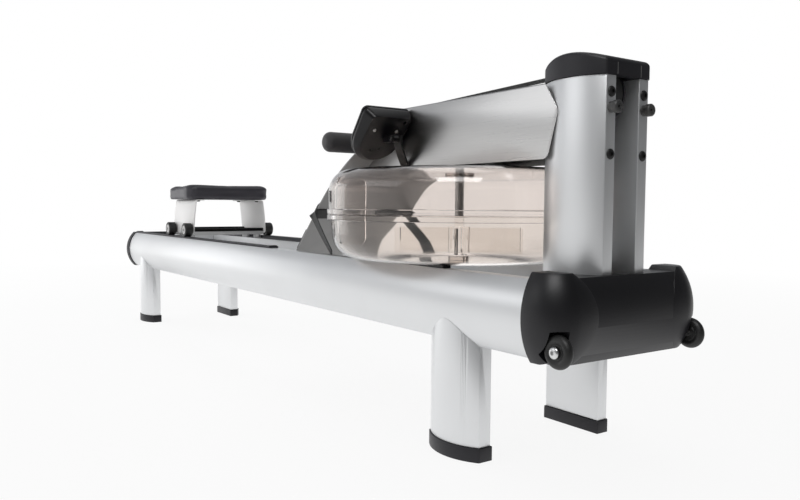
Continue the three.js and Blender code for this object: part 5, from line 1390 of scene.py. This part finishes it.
def between(start, end, share):
    """A place part of the way from one (x, z) to another."""
    return tuple(a + (b - a) * share for a, b in zip(start, end))


lead_end = (-434, 650)
reach_x, reach_z = lead_end[0] - handle_x, lead_end[1] - handle_z
lift = handle_radius + 0.3 + 1.5
aim = math.atan2(reach_z, reach_x) - math.asin(lift / math.hypot(reach_x, reach_z))
lead_out = 41.6
lead_start = (
    handle_x - lift * math.sin(aim) + lead_out * math.cos(aim),
    handle_z + lift * math.cos(aim) + lead_out * math.sin(aim),
)
lead_stop = (lead_end[0] - 2.4 * math.cos(aim), lead_end[1] - 2.4 * math.sin(aim))
lead_places = [between(lead_start, lead_stop, i / 12) for i in range(13)]
lead = strap([at(x, 0, z) for x, z in lead_places], [across_y] * 13, drive_width, drive_thick)
settle(lead, "lead_strap", None, webbing, "webbing", "strap_lead")
deck_exit = at(lead_stop[0], 0, lead_stop[1])
handle_clamp = at(lead_start[0], 0, lead_start[1])
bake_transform(lead)

idler_x, idler_z, wrap = 97, 621, 44.7
drum_z, drum_wrap = 538, 45.7


def drive_path():
    """Along the deck, half round the pulley, a quarter turn on the way down, half round the drum."""
    path, across = [], []

    def add(x, y, z, side):
        path.append(at(x, y, z))
        across.append(side)

    rise = math.atan2(idler_z + wrap - lead_end[1], idler_x - lead_end[0])
    first = (idler_x - wrap * math.sin(rise), idler_z + wrap * math.cos(rise))
    for i in range(30):
        x, z = between(lead_end, first, i / 30)
        add(x, 0, z, across_y)
    for i in range(37):
        angle = math.pi / 2 + rise - math.pi * i / 36
        add(idler_x + wrap * math.cos(angle), 0, idler_z + wrap * math.sin(angle), across_y)
    last_x = idler_x + wrap * math.cos(rise - math.pi / 2)
    last_z = idler_z + wrap * math.sin(rise - math.pi / 2)
    touch = math.acos(drum_wrap / (last_x - tank_x))
    touch_x, touch_y = tank_x + drum_wrap * math.cos(touch), drum_wrap * math.sin(touch)
    for i in range(1, 37):
        share = i / 36
        turn = math.pi / 2 * share
        x, z = between((last_x, last_z), (touch_x, drum_z), share)
        add(x, touch_y * share, z, Vector((0, math.cos(turn), math.sin(turn))))
    for i in range(1, 37):
        angle = touch + math.pi * i / 36
        add(tank_x + drum_wrap * math.cos(angle), drum_wrap * math.sin(angle), drum_z, Vector((0, 0, 1)))
    return path, across


drive = strap(*drive_path(), drive_width, drive_thick)
settle(drive, "pull_strap", "frame", webbing, "webbing", "drive_strap")

# %% [markdown]
# ## The monitor
#
# The monitor is a shield with a flat top and a half-round foot. Its face is traced, and the same
# face is then pushed back step by step: a rim, a groove round it, and a flank that narrows to a
# smaller, tilted back. It is modelled upright at the origin and set in place at the end.

# %% Monitor housing
monitor_turn = math.radians(38)
monitor_frame = Matrix.Translation(at(-373, -130.5, 588)) @ Matrix((
    (0, math.sin(monitor_turn), -math.cos(monitor_turn)),
    (-1, 0, 0),
    (0, math.cos(monitor_turn), math.sin(monitor_turn)),
)).to_4x4()


def shield(width, height, corner, steps=10):
    """The outline of the face: a flat top with round corners over a half-round foot."""
    half, top = width / 2, height / 2
    low = top - height + half
    left = arc(corner - half, top - corner, corner, 90, 180, steps)
    foot = arc(0, low, half, 180, 360, 4 * steps)
    right = arc(half - corner, top - corner, corner, 0, 90, steps)
    return [*left, *foot, *right]


face_width, face_height, back_width, back_height = 115, 125, 94, 112
back_tilt, back_centre, back_middle = -5.7, 2, 28  # the back's lean, height and depth
rim, groove, flank = 5, 1.6, 6
housing = trace([Vector((x * mm, y * mm, 0)) for x, y in shield(face_width, face_height, 12)])
edit_all(housing)
push(-rim)
push(0, (0.965, 0.968))
push(-groove)
push(0, (1.03, 1.028))
push(-flank)
push(rim + groove + flank - back_middle, (back_width / face_width, back_height / face_height))
back_pivot = Vector((0, back_centre, -back_middle)) * mm
bpy.ops.transform.translate(value=(0, back_centre * mm, 0))
bpy.ops.transform.rotate(value=math.radians(-back_tilt), orient_axis="X", center_override=back_pivot)
bpy.ops.object.mode_set(mode="OBJECT")
tidy(housing)
print("monitor depth", [round(side * 1000) for side in housing.dimensions])
round_edges(housing, 2.4, 4, 24)


# %% [markdown]
# The window for the screen and the three button holes are cut from the front. On the back, four
# screws sit in round sinks: the upper two are bright, the lower two black.

# %% Window, buttons, screws and knuckle
def upright(x, y, z_low, z_high, radius, sides=32):
    """A rod along the monitor's own z, before the monitor is set in place."""
    return rod(Vector((x, y, z_low)) * mm, Vector((x, y, z_high)) * mm, radius, sides)


def back_depth(y):
    return -back_middle - (back_centre - y) * math.tan(math.radians(back_tilt))


window_line = [Vector((x, y, -4.2)) * mm for x, y in rounded_box(-44.3, 44.3, -4.3, 48.3, 5)]
combine(housing, prism(window_line, Vector((0, 0, 20 * mm))))
button_spacing, button_y, button_hole = 26, -22, 7.3
for x in (-button_spacing, 0, button_spacing):
    combine(housing, upright(x, button_y, -4.0, 9, button_hole))
screw_places = {"a": (29.1, 22.5, bright_steel), "b": (-23.7, 24.1, bright_steel),
                "c": (18.2, -30.2, black_metal), "d": (-3.1, -24.8, black_metal)}
for x, y, _ in screw_places.values():
    combine(housing, upright(x, y, -90, back_depth(y) + 1.2, 4.4))
socket_x, socket_y = -32.8, 47  # a round socket in the back's upper corner
combine(housing, upright(socket_x, socket_y, -90, back_depth(socket_y) + 7, 3.6))
soften(housing, 28)


def place_monitor(piece):
    only(piece)
    piece.matrix_world = monitor_frame
    bpy.ops.object.transform_apply(location=True, rotation=True, scale=True)
    return piece


place_monitor(housing)
hinge_x, hinge_z, knuckle_inner, knuckle_outer = -317, 572, -116.4, -130.4
knuckle = rod(at(hinge_x, knuckle_inner, hinge_z), at(hinge_x, knuckle_outer, hinge_z), 8, 48)
root = block(-348, hinge_x, knuckle_outer, knuckle_inner, hinge_z - 6, hinge_z + 8)
combine(knuckle, root, "UNION")
combine(knuckle, rod(at(hinge_x, -100, hinge_z), at(hinge_x, -150, hinge_z), 3.3, 32))
combine(housing, knuckle, "UNION")
soften(housing, 28)
settle(housing, "monitor_case", "monitor", housing_plastic, "black_plastic", "monitor_housing")
for mark, (x, y, finish) in screw_places.items():
    screw = button_bolt(Vector((x, y, back_depth(y) + 0.9)) * mm, (0, 0, -1), 3.6, 2.0, 1.4, 1)
    settle(place_monitor(screw), f"monitor_screw_{mark}", "monitor", finish, "bright_steel")
repaint(screen_glass, "monitor_screen")
repaint(grey_rubber, "monitor_button_left", "monitor_button_middle", "monitor_button_right")

# %% [markdown]
# The arm is one flat bar from the deck's side up and out to the hinge. It is bent twice: a foot
# lies against the deck and an eye stands beside the monitor's knuckle. A flat bar follows a path
# as a strap does, only thicker, so the straps' function lays it.

# %% Monitor arm
arm_foot_x, arm_width, arm_sheet = -345, 22, 5
arm_deck_y, arm_eye_y = -77.4, -112.9
arm_line = through([
    at(arm_foot_x, arm_deck_y, 511), at(arm_foot_x + 1, arm_deck_y - 1, 520),
    at((arm_foot_x + hinge_x) / 2, (arm_deck_y + arm_eye_y) / 2 - 2, 541),
    at(hinge_x - 2, arm_eye_y, 563), at(hinge_x, arm_eye_y, 580),
], 8)
arm = strap(arm_line, [Vector((1, 0, 0))] * len(arm_line), arm_width, arm_sheet)
round_edges(arm, 0.8, 2, 40)
pin = rod(at(hinge_x, arm_eye_y, hinge_z), at(hinge_x, knuckle_outer - 2.5, hinge_z), 3.1, 32)
pin_head = button_bolt(at(hinge_x, knuckle_outer - 2.3, hinge_z), (0, -1, 0), 5.5, 3.0, 1.8, 1)
combine(arm, pin, "UNION")
combine(arm, pin_head, "UNION")
settle(soften(arm, 30), "arm_of_monitor", "frame", black_metal, "black_metal", "monitor_arm")

# %% [markdown]
# ## The seat
#
# The cushion is foam under vinyl. Its skin is a thin cloth pressed outwards by the foam, so the
# surest way to its soft, crowned faces is to let a cloth simulation blow up a slightly smaller
# form, and to stop each point after a few millimetres, as the foam would.

# %% Seat cushion
seat_x = -1587
pad_low, pad_swell = 453, 4
pad_longer, pad_wider, pad_thinner = 1.08, 1.03, 0.94


def fit_size(piece):
    """Makes the start form as much wider and longer as the real pad is, less the swelling."""
    low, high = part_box("seat_pad")
    front = Vector((high.x, 0, low.z))
    edit_all(piece)
    bpy.ops.transform.resize(value=(pad_longer, pad_wider, pad_thinner), center_override=front)
    bpy.ops.object.mode_set(mode="OBJECT")


cushion = copied(frame["nodes"]["seat_pad"])
cushion.name = "cushion"
only(cushion)
tidy(cushion)
fit_size(cushion)
remesh = cushion.modifiers.new("even_skin", "REMESH")
remesh.mode = "VOXEL"
remesh.voxel_size = 5 * mm
only(cushion)
bpy.ops.object.modifier_apply(modifier=remesh.name)
print("cushion skin", len(cushion.data.polygons), "faces")


def swell(piece, pressure, reach):
    """Blows the skin up with the cloth solver and stops each point within its reach."""
    before = [vertex.co.copy() for vertex in piece.data.vertices]
    cloth = piece.modifiers.new("cloth", "CLOTH")
    cloth.settings.use_pressure = True
    cloth.settings.uniform_pressure_force = pressure
    cloth.settings.effector_weights.gravity = 0
    cloth.settings.tension_stiffness = 40
    cloth.settings.bending_stiffness = 2
    cloth.point_cache.frame_start = 1
    cloth.point_cache.frame_end = 20
    for step in range(1, 21):
        bpy.context.scene.frame_set(step)
    only(piece)
    bpy.ops.object.modifier_apply(modifier=cloth.name)
    bpy.context.scene.frame_set(1)
    for vertex, start in zip(piece.data.vertices, before):
        step = vertex.co - start
        if step.length > reach * mm:
            vertex.co = start + step.normalized() * reach * mm


swell(cushion, 4, pad_swell)
flat_bottom = at(0, 0, pad_low + 0.2).z
for vertex in cushion.data.vertices:
    vertex.co.z = max(vertex.co.z, flat_bottom)
smoother = cushion.modifiers.new("smoother", "SMOOTH")
smoother.iterations = 4
finer = cushion.modifiers.new("finer", "SUBSURF")
finer.levels = finer.render_levels = 1
only(cushion)
bpy.ops.object.modifier_apply(modifier=smoother.name)
bpy.ops.object.modifier_apply(modifier=finer.name)
soften(cushion, 60)
settle(cushion, "cushion", "seat", seat_vinyl, "seat_cover", "seat_pad")

# %% [markdown]
# The white brackets are folded sheet: a flange under the cushion and a side that arches out. A
# sheet is best drawn as a line, pushed along, and given its thickness at the end.

# %% Seat brackets
bracket_top, bracket_foot, bracket_top_y, bracket_foot_y = 452.7, 338, 121, 129.5
bracket_length, bracket_sheet, bracket_corner = 203, 3, 14
bracket_flange, bracket_bend = 30, 7


def bracket():
    middle = bracket_sheet / 2
    arch_top, bend_y = bracket_top - bracket_bend, bracket_top_y - bracket_bend
    line = [(bracket_top_y - bracket_flange, bracket_top - middle), (bend_y, bracket_top - middle)]
    line += arc(bend_y, arch_top - middle + 0.5, bracket_bend - middle, 78, 12, 4)
    for i in range(1, 13):
        share = i / 12
        line.append((
            bracket_top_y - middle + (bracket_foot_y - bracket_top_y) * math.sin(math.pi / 2 * share),
            arch_top - 2 + (bracket_foot - arch_top + 2) * share,
        ))
    start = seat_x - bracket_length / 2
    sheet = trace([at(start, y, z) for y, z in line], False)
    edit_all(sheet)
    bpy.ops.mesh.extrude_region_move(TRANSFORM_OT_translate={"value": (bracket_length * mm, 0, 0)})
    bpy.ops.object.mode_set(mode="OBJECT")
    lower = at(0, 0, bracket_foot).z
    choose(sheet, "verts", lambda v: abs(v.co.z - lower) < 1e-5)
    bpy.ops.mesh.bevel(offset=bracket_corner * mm, segments=8, affect="VERTICES")
    bpy.ops.object.mode_set(mode="OBJECT")
    body = sheet.modifiers.new("body", "SOLIDIFY")
    body.thickness = bracket_sheet * mm
    body.offset = 0
    only(sheet)
    bpy.ops.object.modifier_apply(modifier=body.name)
    tidy(sheet)
    return round_edges(sheet, 0.6, 2, 60)


settle_pair(bracket(), "SIDE_seat_bracket", "seat", white_paint, "white_paint", "seat_bracket_SIDE")

# %% [markdown]
# Four dark bolt heads under the flanges of the brackets hold the cushion.

# %% Bolts that hold the cushion
pad_bolt_y, pad_bolt_reach = 105, 80
pad_bolt_size = (6.5, 4.4, 3, 2)
for end, step in (("front", pad_bolt_reach), ("rear", -pad_bolt_reach)):
    for side, sign in sides:
        under = at(seat_x + step, sign * pad_bolt_y, bracket_top - bracket_sheet)
        bolt = button_bolt(under, (0, 0, -1), *pad_bolt_size)
        settle(bolt, f"pad_bolt_{end}_{side}", "seat", black_metal, "black_metal")

# %% [markdown]
# A seat wheel is a rubber tread with rounded shoulders and a pale disc in its outer face.

# %% Seat wheels
axle_z, axle_xs = 351.3, {"front": -1504.5, "rear": -1669.5}
tread_radius, tread_in, tread_out, tread_round = 22.5, 131.5, 157.5, 3
shoulder = tread_radius - tread_round
for end, x in axle_xs.items():
    tread_line = [
        (5.4, tread_in), (15, tread_in), (15.8, tread_in), (shoulder, tread_in),
        *arc(shoulder, tread_in + tread_round, tread_round, -90, 0, 4),
        *arc(shoulder, tread_out - tread_round, tread_round, 0, 90, 4),
        (15.6, tread_out), (14.6, tread_out - 1.8), (5.4, tread_out - 1.8), (5.4, tread_in),
    ]
    tread = soften(turned(tread_line, at(x, 0, axle_z), (0, 1, 0), (1, 0, 0), 72), 35)
    hub_line = [
        (0, tread_out - 1.8), (14.2, tread_out - 1.8), (14.2, tread_out - 0.5), (13.6, tread_out),
        (10.4, tread_out), (9.8, tread_out - 0.9), (7.6, tread_out - 0.9), (7.0, tread_out + 0.5),
        (6.2, tread_out + 0.9), (0, tread_out + 0.9),
    ]
    disc = soften(turned(hub_line, at(x, 0, axle_z), (0, 1, 0), (1, 0, 0), 72), 35)
    for side in ("left", "right"):
        if side == "right":
            tread, disc = mirrored(tread), mirrored(disc)
        body, node = f"seat_wheel_{end[0]}{side[0]}", f"seat_wheel_{end}_{side}"
        settle(tread, f"{end}_{side}_seat_tyre", body, black_rubber, "black_rubber", node)
        settle(disc, f"{end}_{side}_seat_hub", body, hub_grey, "bright_steel")

# %% [markdown]
# ## Floor, surroundings and lamps
#
# The machine stands in front of plain white. The floor is pale and keeps the soft shadow, and far
# from the machine it turns into the same white as the surroundings, so no horizon shows. Metal
# shows what it mirrors: bright around the machine, dimmer overhead and behind the camera.

# %% Floor
floor = bring(bpy.ops.mesh.primitive_circle_add, vertices=96, radius=9, fill_type="NGON")
floor.name = "studio_floor"
floor_finish = Finish("studio_floor", {"Roughness": 0.9, "Base Color": (0.86, 0.86, 0.86, 1)})
distance = floor_finish.node("VectorMath", {"operation": "LENGTH"}, {0: floor_finish.place}, out="Value")
far = floor_finish.fade(distance, 1.6, 4.0)
glossy = floor_finish.ray("Glossy")
seen = floor_finish.ray("Camera") + glossy + floor_finish.ray("Transmission")
glow_share = (far * 0.10 + 0.90).math("MINIMUM", 1.0) * seen.math("MINIMUM", 1.0)
in_front = floor_finish.fade(floor_finish.along("X"), 1.1, 2.2)
mirrored_floor = 1.18 - 0.85 * in_front
glow = floor_finish.node("Emission", {}, {
    "Color": (1, 1, 1, 1), "Strength": (1 - glossy) + glossy * mirrored_floor,
})
floor_mix = floor_finish.node("MixShader", {}, {
    0: glow_share, 1: Value(floor_finish, floor_finish.shader.outputs[0]), 2: glow,
})
floor_finish.feed(floor_finish.output.inputs["Surface"], floor_mix)
floor.data.materials.append(floor_finish.material)

# %% [markdown]
# The camera sees plain white behind the machine, while the metal mirrors a graded sky. The soft
# light comes mostly from the side that the camera looks at.

# %% Surroundings
world = bpy.data.worlds.new("studio")
bpy.context.scene.world = world
world.use_nodes = True


class Surroundings(Finish):
    """The world's shader, built with the same helpers; its place is a direction."""

    def __init__(self, studio):
        self.tree = studio.node_tree
        self.output = self.tree.nodes["World Output"]
        self.place = self.node("TexCoord", out="Generated")


studio = Surroundings(world)
is_camera, is_diffuse = studio.ray("Camera"), studio.ray("Diffuse")
height = studio.along("Z")
above_screen = studio.fade(height, 0.09, 0.17, "SMOOTHSTEP")
overhead = studio.fade(height, 0.2, 0.9)
behind_camera = studio.fade(studio.along("X"), -0.45, 0.45)
mirrored_light = (1 - 0.38 * above_screen) * (1 - 0.35 * overhead) * (1 - 0.86 * behind_camera) * 0.88
soft_light = 0.76 - 0.40 * behind_camera
level = is_camera + (1 - is_camera) * (is_diffuse * soft_light + (1 - is_diffuse) * mirrored_light)
backdrop = studio.tree.nodes["Background"]
studio.feed(backdrop.inputs["Strength"], level)
cool_share = (1 - is_camera) * (1 - is_diffuse) * above_screen
studio.feed(backdrop.inputs["Color"], studio.mix(cool_share, (1, 1, 1, 1), (0.97, 0.99, 1.03, 1)))


# %% [markdown]
# Large, weak lamps give the edges their highlights. One fills in from behind the machine without
# being mirrored, and one shows only as a mirror image in the tank and the plastics.

# %% Lamps
def lamp(name, place, target, size, height, watts):
    light = bpy.data.lights.new(name, "AREA")
    light.shape = "RECTANGLE"
    light.size, light.size_y = size, height
    light.energy = watts
    holder = bpy.data.objects.new(name, light)
    bpy.context.scene.collection.objects.link(holder)
    holder.location = place
    holder.rotation_euler = (Vector(target) - Vector(place)).to_track_quat("-Z", "Y").to_euler()
    return holder


lamp("side_lamp", (-0.6, -3.4, 2.0), (0, 0, 0.35), 2.6, 1.4, 15)
lamp("top_lamp", (0.2, 0.6, 3.0), (0, 0, 0.3), 2.2, 1.6, 12)
behind = (-3.3, -1.3, 0.8), (-0.8, -0.2, 0.4), 1.6, 1.5
lamp("rear_lamp", *behind, 8)
rear_fill = lamp("rear_fill", *behind, 36)
rear_fill.visible_glossy = False  # a bright mirror image would burn out the silver
window_lamp = lamp("tank_lamp", (2.1, -1.2, 2.4), (0.885, -0.167, 0.481), 1.5, 1.0, 40)
window_lamp.visible_diffuse = False  # only its mirror image on the tank and plastics is wanted

# %% [markdown]
# Last, the view transform is set to Standard.

# %% View transform
bpy.context.scene.view_settings.view_transform = "Standard"
